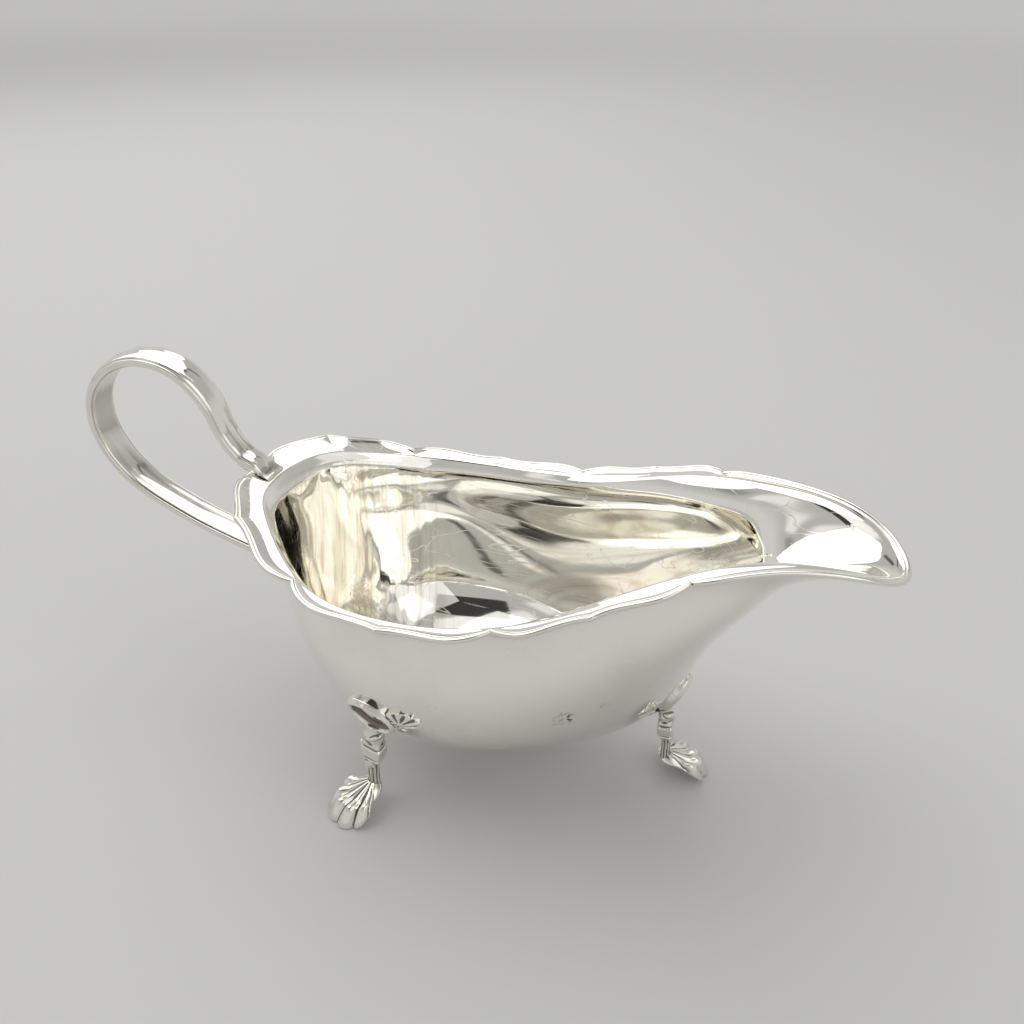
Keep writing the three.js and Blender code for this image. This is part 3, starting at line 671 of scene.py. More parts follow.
@dataclass(frozen=True)
class SilverFinish:
    """Polished silver with wear: hairlines, pits, tarnished film and spots, dark grooves, painted
    streak reflections.
    """

    name: str
    bright: tuple[float, float, float] = (0.88, 0.866, 0.80)
    warm: tuple[float, float, float] = (0.80, 0.783, 0.71)
    dark: tuple[float, float, float] = (0.16, 0.13, 0.105)
    # Brown colour of the tarnished spots, which also paints the streak reflections inside the
    # stern.
    tarnish_and_streak_reflection: tuple[float, float, float] = (0.55, 0.46, 0.35)
    roughness: float = 0.07
    haze: float = 0.07
    hairline: float = 0.10
    grain: float = 2.0e-6
    groove: float = 0.0
    groove_step: tuple[float, float] = (0.15, 0.9)
    groove_dullness: float = 0.25
    # Strength of the painted reflection: darker streaks down the stern's inside wall.
    streaks: float = 0.0
    streak_dullness: float = 0.06
    streak_stretch: float = 0.06
    streak_scales: tuple[float, float] = (330.0, 1500.0)
    broad_step: tuple[float, float] = (0.44, 0.64)
    broad_share: float = 0.6
    fine_step: tuple[float, float] = (0.48, 0.66)
    fine_share: float = 0.4
    cloud_scale: float = 45.0
    cloud_step: tuple[float, float] = (0.45, 0.72)
    speckle_scale: float = 900.0
    ragged_scale: float = 420.0
    tarnished: tuple[Spot, ...] = ()
    tarnish_strength: float = 0.75
    tarnish_dullness: float = 0.12
    tarnish_step: tuple[float, float] = (0.38, 0.58)
    etched_step: tuple[float, float] = (0.52, 0.6)
    etched_depth: float = 2.0
    pitted: tuple[Spot, ...] = ()
    pit_dullness: float = 0.35
    pit_step: tuple[float, float] = (0.50, 0.56)
    pit_depth: float = 3.0
    hairlines: tuple[Hairlines, ...] = (
        Hairlines(turn=0.5, stretch=14.0, shift=0.1),
        Hairlines(turn=2.1, stretch=18.0, shift=0.7),
        Hairlines(turn=1.2, stretch=9.0, shift=1.9),
    )

    def material(self) -> bpy.types.Material:
        """Builds the material.

        Returns:
            A new node material.
        """
        material = bpy.data.materials.new(self.name)
        material.use_nodes = True
        bench = Bench(material.node_tree)
        place = bench.add("ShaderNodeTexCoord", {}, {}, "Object")
        cloud = bench.noise(place, self.cloud_scale, detail=4.0, Roughness=0.6)
        film = cloud.within(*self.cloud_step)
        scratches = self._greatest([lines.mask(bench, place) for lines in self.hairlines])
        speckle = bench.noise(place, self.speckle_scale, detail=3.0, Roughness=0.65)
        ragged = bench.noise(place, self.ragged_scale, detail=3.0, Roughness=0.7)
        colour: Any = bench.mix(film, self.bright, self.warm)
        roughness = self.roughness + self.haze * film + self.hairline * scratches
        height = speckle * 0.5 - scratches
        if self.tarnished:
            worn = self._greatest([spot.mask(bench, place, ragged) for spot in self.tarnished])
            worn = worn * bench.attribute("streaked")
            spread = worn * speckle.within(*self.tarnish_step) * self.tarnish_strength
            colour = bench.mix(spread, colour, self.tarnish_and_streak_reflection)
            roughness = roughness + worn * self.tarnish_dullness
            height = height - worn * speckle.within(*self.etched_step) * self.etched_depth
        # Painted reflection: darker streaks down the stern's inside wall, in the brown tone, also
        # made duller.
        if self.streaks:
            painted_streaks = self._painted_streak_reflections(bench, place)
            colour = bench.mix(painted_streaks * self.streaks, colour, self.tarnish_and_streak_reflection)
            roughness = roughness + painted_streaks * self.streak_dullness
        if self.pitted:
            pits = self._greatest([spot.mask(bench, place, ragged) for spot in self.pitted])
            deep = pits * speckle.within(*self.pit_step)
            colour = bench.mix(deep, colour, self.dark)
            roughness = roughness + deep * self.pit_dullness
            height = height - deep * self.pit_depth
        if self.groove:
            soot = bench.attribute("hollow").within(*self.groove_step) * self.groove
            colour = bench.mix(soot, colour, self.dark)
            roughness = roughness + soot * self.groove_dullness
        relief = bench.add(
            "ShaderNodeBump", {}, {"Strength": 1.0, "Distance": self.grain, "Height": height}
        )
        shader = bench.add(
            "ShaderNodeBsdfPrincipled",
            {},
            {"Base Color": colour, "Metallic": 1.0, "Roughness": roughness, "Normal": relief},
        )
        bench.add("ShaderNodeOutputMaterial", {}, {"Surface": shader})
        return material

    def _painted_streak_reflections(self, bench: Bench, place: Wire) -> Wire:
        """Painted reflection: darker, duller streaks that run down the wall inside the stern.

        Args:
            bench: Where the nodes go.
            place: Object coordinates.

        Returns:
            Value that is one on a streak.
        """
        laid = streak_place(bench, place, self.streak_stretch)
        broad = bench.noise(laid, self.streak_scales[0], detail=2.0, Roughness=0.5)
        fine = bench.noise(laid, self.streak_scales[1], detail=2.0, Roughness=0.6)
        broad = broad.within(*self.broad_step) * self.broad_share
        fine = fine.within(*self.fine_step) * self.fine_share
        return (broad + fine) * bench.attribute("streaked")

    @staticmethod
    def _greatest(masks: Sequence[Wire]) -> Wire:
        """Greatest of several masks.

        Args:
            masks: One mask or more.

        Returns:
            The greatest of them at each point.
        """
        total = masks[0]
        for mask in masks[1:]:
            total = total.largest(mask)
        return total


@dataclass(frozen=True)
class Station:
    """Opening of the bowl and its rim at one place."""

    x: float
    half_width: float
    z: float
    rim_width: float
    rim_rise: float


@dataclass(frozen=True)
class Keel:
    """Profile of the outer wall from the rim down to the middle of the belly."""

    reach: tuple[float, ...]
    height: tuple[float, ...]


@dataclass
class Hull:
    """The raised body: an egg in plan at every level, pinched at the rim to the opening's plan."""

    stations: tuple[Station, ...] = (
        Station(81.8, 0, 59.0, 1.1, 0),
        Station(75.5, 9.0, 62.6, 1.1, 0.1),
        Station(63.0, 13.4, 64.1, 1.1, 0.1),
        Station(45.0, 20.6, 60.4, 1.1, 0.4),
        Station(24.0, 26.9, 52.9, 1.7, 0.5),
        Station(0, 29.6, 50.0, 1.8, 0.3),
        Station(-18.5, 25.2, 51.5, 2.2, 0.9),
        Station(-30.2, 15.0, 55.6, 4.0, 1.5),
        Station(-36.3, 0, 56.3, 3.8, 1.6),
    )
    levels: tuple[float, ...] = (0, 0.1, 0.25, 0.45, 0.65, 0.82, 0.93, 1)
    fore: Keel = Keel(
        reach=(81.8, 69.0, 61.6, 53.7, 47.4, 39.3, 25.0, 0),
        height=(1, 0.925, 0.805, 0.585, 0.31, 0.108, 0.032, 0),
    )
    aft: Keel = Keel(
        reach=(36.3, 34.6, 33.4, 30.0, 23.8, 15.6, 8.3, 0),
        height=(1, 0.88, 0.7, 0.45, 0.22, 0.08, 0.018, 0),
    )
    flank_reach: tuple[float, ...] = (29.6, 29.5, 30.3, 29.0, 24.5, 16.5, 8.6, 0)
    wall: float = 1.0
    belly_clearance: float = 8.5
    tip_radius: float = 9.0
    egg_softness: float = 0.5
    egg_level: float = 0.55
    lobes: tuple[float, ...] = (37.4, 39.5, 33.8)
    lobe_shoulder: float = 1.15
    lobe_peak: float = 0.9
    lobe_notch: float = 1.2
    peak_sharpness: float = 0.14
    notch_sharpness: float = 0.08
    shoulder_place: float = 1.6
    rim_dish: float = 0.35
    pole_level: float = 0.9985
    egg_samples: int = 20001
    tip_nudge: float = 1e-4
    trace_steps: int = 2400

    def __post_init__(self) -> None:
        """Solves the splines that the shape follows."""
        opening = self.stations
        self.half_beam = max(station.half_width for station in opening)
        self.fore_reach = CubicSpline(self.levels, self.fore.reach)
        self.aft_reach = CubicSpline(self.levels, self.aft.reach)
        self.side_reach = CubicSpline(self.levels, self.flank_reach)
        self.fore_height = CubicSpline(self.levels, self.fore.height, None, 0.0)
        self.aft_height = CubicSpline(self.levels, self.aft.height, None, 0.0)
        cosines = np.linspace(-1.0, 1.0, self.egg_samples)
        egg = self.egg_length(cosines, opening[0].x, -opening[-1].x)
        angles = [float(np.arccos(np.interp(s.x, egg, cosines))) for s in opening]
        angles[0], angles[-1] = 0.0, math.pi
        near = self.tip_nudge
        before_tip = self.egg_length(1 - near, opening[0].x, -opening[-1].x)
        slope = float(opening[0].x - before_tip) / near
        between = zip(opening[1:-1], angles[1:-1])
        pinches = [s.half_width / (self.half_beam * math.sin(angle)) for s, angle in between]
        pinches = [math.sqrt(self.tip_radius * slope) / self.half_beam, *pinches, 1.0]
        self.pinch = CubicSpline(angles, pinches, 0.0, 0.0)
        self.opening_height = CubicSpline(angles, [s.z for s in opening], 0.0, 0.0)
        self.rim_width = CubicSpline(angles, [s.rim_width for s in opening], 0.0, 0.0)
        self.rim_rise = CubicSpline(angles, [s.rim_rise for s in opening], 0.0, 0.0)
        self.trace_angles = np.linspace(math.pi, 0.0, self.trace_steps + 1)
        steps = np.linalg.norm(np.diff(self.plain_edge(self.trace_angles), axis=0), axis=1)
        self.trace_lengths = np.concatenate([[0.0], np.cumsum(steps)])

    def egg_length(self, cosine: Any, fore: Any, aft: Any) -> Array:
        """Distance along the boat for an angle.

        Args:
            cosine: Cosine of the angle, 1 at the spout and -1 at the stern.
            fore: Distance from amidships to the spout's end.
            aft: Distance from amidships to the stern.

        Returns:
            Distance forward of amidships.
        """

        def soft(c: Any) -> Array:
            """Cosine with its after half faded out."""
            return (c + np.hypot(c, self.egg_softness)) / 2.0

        share = (soft(np.asarray(cosine, float)) - soft(-1.0)) / (soft(1.0) - soft(-1.0))
        return aft * cosine + (fore - aft) * share

    def point(self, level: Any, angle: Any) -> Array:
        """Points of the outer wall.

        Args:
            level: From 0 at the rim to 1 under the belly.
            angle: From 0 at the spout to pi at the stern, positive on the left side.

        Returns:
            Points in millimetres from amidships.
        """
        level, angle = np.broadcast_arrays(np.asarray(level, float), np.asarray(angle, float))
        turn = np.abs(angle)
        quarter = math.pi / 2
        pinch = lerp(self.pinch(turn), 1.0, ease(level / self.egg_level))
        fore = ease(1.0 - turn / quarter)
        height = fore * self.fore_height(level) + (1.0 - fore) * self.aft_height(level)
        x = self.egg_length(np.cos(angle), self.fore_reach(level), self.aft_reach(level))
        y = self.side_reach(level) * np.sin(angle) * pinch
        z = lerp(self.belly_clearance, self.opening_height(turn), height)
        return np.stack([x, y, z], -1)

    def off(self, level: Any, angle: Any, distance: Any) -> Array:
        """Points at a distance off the outer wall.

        Args:
            level: From 0 at the rim to 1 under the belly.
            angle: From 0 at the spout to pi at the stern.
            distance: Distance outward, or inward where it is negative.

        Returns:
            Points in millimetres from amidships.
        """
        level, angle = np.broadcast_arrays(np.asarray(level, float), np.asarray(angle, float))
        lower, upper = np.minimum(level + NUDGE, 1), np.maximum(level - NUDGE, 0)
        down = self.point(lower, angle) - self.point(upper, angle)
        round_ = self.point(level, angle + NUDGE) - self.point(level, angle - NUDGE)
        normal = -np.cross(round_, down)
        normal = normal / np.maximum(np.linalg.norm(normal, axis=-1, keepdims=True), LEAST_NORMAL)
        at_pole = (level > self.pole_level)[..., None]
        normal = np.where(at_pole, np.array([0.0, 0.0, -1.0]), normal)
        return self.point(level, angle) + normal * np.asarray(distance, float)[..., None]

    def plan_normal(self, angle: Any) -> Array:
        """Outward directions in plan at the opening.

        Args:
            angle: From 0 at the spout to pi at the stern.

        Returns:
            Directions of length one.
        """
        angle = np.asarray(angle)
        along = self.point(0.0, angle + NUDGE) - self.point(0.0, angle - NUDGE)
        return unit(np.stack([along[..., 1], -along[..., 0], 0 * along[..., 0]], -1))

    def plain_edge(self, angle: Any) -> Array:
        """Edge of the rim before it is scalloped.

        Args:
            angle: From 0 at the spout to pi at the stern.

        Returns:
            Points in millimetres from amidships.
        """
        turn = np.abs(angle)
        edge = self.point(0.0, angle) + self.plan_normal(angle) * self.rim_width(turn)[..., None]
        edge[..., 2] += self.rim_rise(turn)
        return edge

    def length_at(self, angle: Any) -> Array:
        """Length along the plain edge from the stern."""
        return np.interp(-np.abs(angle), -self.trace_angles, self.trace_lengths)

    def angle_at(self, length: Any) -> Array:
        """Angle at a length along the plain edge from the stern."""
        return np.interp(length, self.trace_lengths, self.trace_angles)

    def scallop(self, length: Any) -> Array:
        """How far the scalloped edge stands outside the plain one.

        Args:
            length: Length along the plain edge from the stern.

        Returns:
            Distance in millimetres, negative where the edge is cut in.
        """
        length = np.asarray(length, float)
        total = np.zeros_like(length)
        start = 0.0
        for lobe, size in enumerate(self.lobes):
            half = size / 2.0
            from_peak = np.abs(length - (start + half)) / half
            wave = np.sin(math.pi * np.clip(from_peak, 0, 1) ** self.shoulder_place)
            swell = self.lobe_shoulder * wave**2
            peak = self.lobe_peak * np.exp(-from_peak / self.peak_sharpness)
            notch = self.lobe_notch * np.exp(-(1.0 - from_peak) / self.notch_sharpness)
            if lobe == 0:
                notch = np.where(length < start + half, 0.0, notch)
            inside = (length >= start) & (length <= start + size)
            total = np.where(inside, swell + peak - notch, total)
            start += size
        past = (length - start) / (self.lobes[-1] / 2.0)
        tail = -self.lobe_notch * np.exp(-np.maximum(past, 0) / self.notch_sharpness)
        return np.where(past > 0, tail, total)

    def edge(self, angle: Any, outward: float = 0.0) -> Array:
        """Scalloped edge of the rim, or a line outside it."""
        out = self.scallop(self.length_at(angle)) + outward
        return self.plain_edge(angle) + self.plan_normal(angle) * out[..., None]

    def columns(self, lobe_steps: int, spout_steps: int) -> Array:
        """Angles round the boat, closer together at the points and notches of the lobes.

        Args:
            lobe_steps: Steps in half a lobe.
            spout_steps: Steps from the last notch to the spout's tip.

        Returns:
            Falling angles from pi past the spout to just before minus pi.
        """
        places = []
        start = 0.0
        for size in self.lobes:
            for side in (0, 1):
                share = (1.0 - np.cos(np.pi * np.arange(lobe_steps) / lobe_steps)) / 2.0
                places.append(start + size / 2.0 * (side + share))
            start += size
        total = self.trace_lengths[-1]
        share = np.sin(np.pi / 2 * np.arange(spout_steps) / spout_steps)
        places.append(lerp(start, total, 0.5 * share + 0.5 * np.arange(spout_steps) / spout_steps))
        half = self.angle_at(np.concatenate(places))
        half[0] = math.pi
        return np.concatenate([half, [0.0], -half[:0:-1]])


@dataclass
class Bowl:
    """One raised sheet: inside wall, rolled-over rim with its dished face, and outside wall."""

    hull: Hull
    shift: float
    lobe_steps: int = 32
    spout_steps: int = 46
    inner_rings: int = 82
    outer_rings: int = 66
    roll_rings: int = 11
    flange_rings: int = 11
    fillet_rings: int = 16
    arc_samples: int = 900
    thinning: float = 3.2
    roll: float = 0.8
    roll_most: float = 0.75
    roll_across: float = 0.55
    roll_pull: float = 0.42
    lip: float = 0.4
    lip_radius: float = 0.3
    lip_steps: int = 8
    fillet_drop: float = 5.0
    fillet_across: float = 0.8
    fillet_pull: float = 0.36
    fillet_width: float = 2.6
    fillet_least: float = 0.45
    fillet_most: float = 1.1
    probe_down: float = 0.4
    probe_across: float = 0.05
    stern_start: float = 1.75
    stern_fade: float = 0.7
    streak_top: float = 0.05
    streak_foot: float = 0.35
    streak_stretch: float = 0.05
    hammer_depth: float = 0.03
    hammer_width: float = 16.0
    streak_depth: float = 0.06
    streak_width: float = 2.4
    finish: SilverFinish = SilverFinish(
        "sheet_silver_polish",
        bright=(0.955, 0.94, 0.88),
        warm=(0.905, 0.89, 0.825),
        roughness=0.04,
        haze=0.045,
        hairline=0.22,
        grain=3.0e-6,
        # streaks: painted reflection, darker streaks down the stern's inside wall.
        streaks=0.75,
        tarnished=(Spot((-27.5, 7.0, 23.5), 5.5), Spot((-24.0, 7.5, 19.0), 4.0)),
        pitted=(Spot((28.4, -22.7, 30.2), 2.6), Spot((34.8, -19.5, 32.4), 1.1)),
    )

    def build(self) -> bpy.types.Object:
        """Builds and dresses the bowl.

        Returns:
            The finished piece.
        """
        angles = self.hull.columns(self.lobe_steps, self.spout_steps)
        shell = Shell()
        shift = np.array([self.shift, 0.0, 0.0])
        shell.loft([ring + shift for ring in self._rings(angles)])
        piece = shell.object("bowl_sheet")
        self._mark(piece, angles)
        self._planish(piece)
        return piece

    def _arc_levels(self, angles: Array) -> tuple[Array, Array]:
        """Length down the outer wall of every column, at many levels.

        Args:
            angles: Angle of each column.

        Returns:
            The levels, and the length at each level and column.
        """
        levels = np.linspace(0.0, 1.0, self.arc_samples)
        points = self.hull.point(levels[:, None], angles[None, :])
        steps = np.linalg.norm(np.diff(points, axis=0), axis=2)
        return levels, np.concatenate([np.zeros((1, len(angles))), np.cumsum(steps, axis=0)])

    def _inner_shares(self) -> Array:
        """How far down the inside wall each ring lies, from the lowest ring up."""
        return np.arange(self.inner_rings, -1, -1) / (self.inner_rings + 1)

    def _bridge(self, skins: Sequence[Array], pull: float, shares: Sequence[float]) -> list[Array]:
        """Rings that run smoothly from one skin into another.

        Args:
            skins: The ring before the start, the start, the end and the ring beyond the end.
            pull: How far each skin's direction is kept, as a share of the way across.
            shares: Where the rings lie between the start and the end.

        Returns:
            The rings.
        """
        before, start, end, beyond = skins
        reach = np.linalg.norm(end - start, axis=1)[:, None]
        first = start + unit(start - before) * reach * pull
        second = end - unit(beyond - end) * reach * pull
        return [bezier(start, first, second, end, share) for share in shares]

    def _rings(self, angles: Array) -> list[Array]:
        """Rings from the pole inside, over the rim, to the pole outside.

        Args:
            angles: Angle of each column.

        Returns:
            The rings, first the pole and the inside wall from below.
        """
        hull, wall = self.hull, self.hull.wall
        levels, arcs = self._arc_levels(angles)
        total = arcs[-1]
        columns = range(len(angles))

        def level_at(length: Array) -> Array:
            """Level of each column at a length down its wall."""
            return np.array([np.interp(length[i], arcs[:, i], levels) for i in columns])

        def inner(length: Array) -> Array:
            """Ring on the inside wall at a length down each column."""
            return hull.off(level_at(length), angles, -wall * ease(length / self.thinning))

        def outer(length: Array) -> Array:
            """Ring on the outside wall at a length down each column."""
            return hull.point(level_at(length), angles)

        root = hull.point(0.0, angles)
        edge = hull.edge(angles, self.lip)
        width = np.linalg.norm(edge - root, axis=1)

        def flange(across: Any, drop: Any) -> Array:
            """Ring on the rim.

            Args:
                across: Place across the rim, from its root at 0 to its edge at 1.
                drop: Depth below the rim's face.

            Returns:
                The ring.
            """
            across = np.broadcast_to(np.asarray(across, float), angles.shape)
            point = lerp(root, edge, across[:, None])
            point[:, 2] -= drop + hull.rim_dish * np.sin(math.pi * np.clip(across, 0, 1))
            return point

        rings: list[Array] = [hull.off(1.0, 0.0, -wall)[None, :]]
        roll = np.minimum(self.roll, self.roll_most * width)
        rings.extend(inner(lerp(roll, total, share)) for share in self._inner_shares())
        across = np.minimum(roll / width, self.roll_across)
        lip = 1.0 - self.lip_radius / width
        skins = [inner(roll + self.probe_down), inner(roll)]
        skins += [flange(across, 0.0), flange(across + self.probe_across, 0.0)]
        shares = [k / self.roll_rings for k in range(1, self.roll_rings + 1)]
        rings.extend(self._bridge(skins, self.roll_pull, shares))
        for k in range(1, self.flange_rings + 1):
            rings.append(flange(lerp(across, lip, k / self.flange_rings), 0.0))
        for k in range(1, self.lip_steps):
            turn = math.pi * k / self.lip_steps
            out = self.lip_radius * math.sin(turn) / width
            rings.append(flange(lip + out, wall * (1 - math.cos(turn)) / 2))
        rings.append(flange(lip, wall))
        size = np.clip(width / self.fillet_width, self.fillet_least, self.fillet_most)
        drop = self.fillet_drop * size
        across = np.minimum(lip, self.fillet_across)
        skins = [flange(across + self.probe_across, wall), flange(across, wall)]
        skins += [outer(drop), outer(drop + self.probe_down)]
        shares = [k / self.fillet_rings for k in range(self.fillet_rings)]
        rings.extend(self._bridge(skins, self.fillet_pull, shares))
        for k in range(self.outer_rings + 1):
            rings.append(outer(lerp(drop, total, k / (self.outer_rings + 1))))
        rings.append(hull.point(1.0, 0.0)[None, :])
        return rings

    def _mark(self, piece: bpy.types.Object, angles: Array) -> None:
        """Stores how much each corner belongs to the streaked wall inside the stern.

        Args:
            piece: The new bowl, whose first corners are the pole and the rings of the inside wall.
            angles: Angle of each column.
        """
        stern = ease((np.abs(angles) - self.stern_start) / self.stern_fade)
        down = self._inner_shares()
        fade = ease(down / self.streak_top) * ease((1.0 - down) / self.streak_foot)
        inside = (fade[:, None] * stern[None, :]).ravel()
        weight = np.zeros(len(piece.data.vertices), np.float32)
        weight[1 : 1 + len(inside)] = inside
        layer = piece.data.attributes.new("streaked", "FLOAT", "POINT")
        layer.data.foreach_set("value", weight)

    def _planish(self, piece: bpy.types.Object) -> None:
        """Gives the sheet soft waves of hammer and scraper with Geometry Nodes, and its finish.

        Args:
            piece: The marked bowl.
        """
        sizes = {
            "Hammer depth": self.hammer_depth,
            "Hammer width": self.hammer_width,
            "Streak depth": self.streak_depth,
            "Streak width": self.streak_width,
        }
        bench = Shaping("planishing", sizes)
        given = bench.given
        spot = bench.add("GeometryNodeInputPosition")
        waves = bench.noise(spot, 1.0, detail=1.5, Roughness=0.4)
        self._set_scale(bench, waves, 1.0 / (given.part("Hammer width") * MM))
        inside = {"Name": "streaked"}
        weight = bench.add("GeometryNodeInputNamedAttribute", {"data_type": "FLOAT"}, inside)
        laid = streak_place(bench, spot, self.streak_stretch)
        streaks = bench.noise(laid, 1.0, detail=2.0, Roughness=0.55)
        self._set_scale(bench, streaks, 1.0 / (given.part("Streak width") * MM))
        height = (waves - 0.5) * given.part("Hammer depth") * (2 * MM)
        height = height + (streaks - 0.5) * given.part("Streak depth") * (2 * MM) * weight
        normal = bench.add("GeometryNodeInputNormal")
        ends = {0: normal, "Scale": height}
        move = bench.add("ShaderNodeVectorMath", {"operation": "SCALE"}, ends)
        moved = bench.add("GeometryNodeSetPosition", {}, {"Geometry": given, "Offset": move})
        bench.apply(piece, moved, self.finish.material())

    @staticmethod
    def _set_scale(bench: Bench, noise: Wire, scale: Wire) -> None:
        """Links the scale of a Noise node."""
        bench.tree.links.new(scale.socket, noise.socket.node.inputs["Scale"])


@dataclass
class EdgeWire:
    """Half-round wire along the scalloped edge, open where the handle is rooted."""

    hull: Hull
    shift: float
    radius: float = 0.5
    gap: float = 0.3
    root_clear: float = 3.4
    least_step: float = 0.16
    lobe_steps: int = 70
    spout_steps: int = 70
    sides: int = 18
    taper: float = 0.012
    end_size: float = 0.35
    finish: SilverFinish = SilverFinish("edge_wire_polish", roughness=0.08, haze=0.05, groove=0.4)

    def build(self) -> bpy.types.Object:
        """Builds and dresses the wire.

        Returns:
            The finished piece.
        """
        angles = self.hull.columns(self.lobe_steps, self.spout_steps)
        line = self.hull.edge(angles, self.gap + self.radius)
        line[:, 2] -= self.hull.wall / 2.0
        clear = (np.abs(self.hull.edge(angles)[:, 1]) > self.root_clear) | (line[:, 0] > 0)
        line = self._evened(line[clear]) + np.array([self.shift, 0, 0])
        mesh = bpy.data.meshes.new("edge_wire_line")
        mesh.from_pydata((line * MM).tolist(), [(i, i + 1) for i in range(len(line) - 1)], [])
        piece = bpy.data.objects.new("rim_wire", mesh)
        bpy.context.scene.collection.objects.link(piece)
        self._sweep(piece)
        return piece

    def _evened(self, line: Array) -> Array:
        """Line without the points that crowd together where the rim turns sharply.

        Args:
            line: Points in order.

        Returns:
            The points that are kept.
        """
        kept = [line[0]]
        for point in line[1:]:
            if np.linalg.norm(point - kept[-1]) > self.least_step:
                kept.append(point)
        return np.stack(kept)

    def _sweep(self, piece: bpy.types.Object) -> None:
        """Sweeps a round section along the line with Geometry Nodes, thinner at both ends.

        Args:
            piece: The line, which becomes the wire.
        """
        bench = Shaping("wire_sweep", {"Radius": self.radius * MM, "Taper": self.taper})
        given = bench.given
        line = bench.add("GeometryNodeMeshToCurve", {}, {"Mesh": given})
        along = bench.add("GeometryNodeSplineParameter", {}, {}, "Factor")
        nearer = 0.5 - abs(along - 0.5)
        full = (nearer / given.part("Taper")).smallest(1.0)
        size = given.part("Radius") * (self.end_size + (1.0 - self.end_size) * full)
        circle = {"Resolution": self.sides, "Radius": 1.0}
        section = bench.add("GeometryNodeCurvePrimitiveCircle", {}, circle)
        ends = {"Curve": line, "Profile Curve": section, "Scale": size, "Fill Caps": True}
        swept = bench.add("GeometryNodeCurveToMesh", {}, ends)
        bench.apply(piece, swept, self.finish.material())


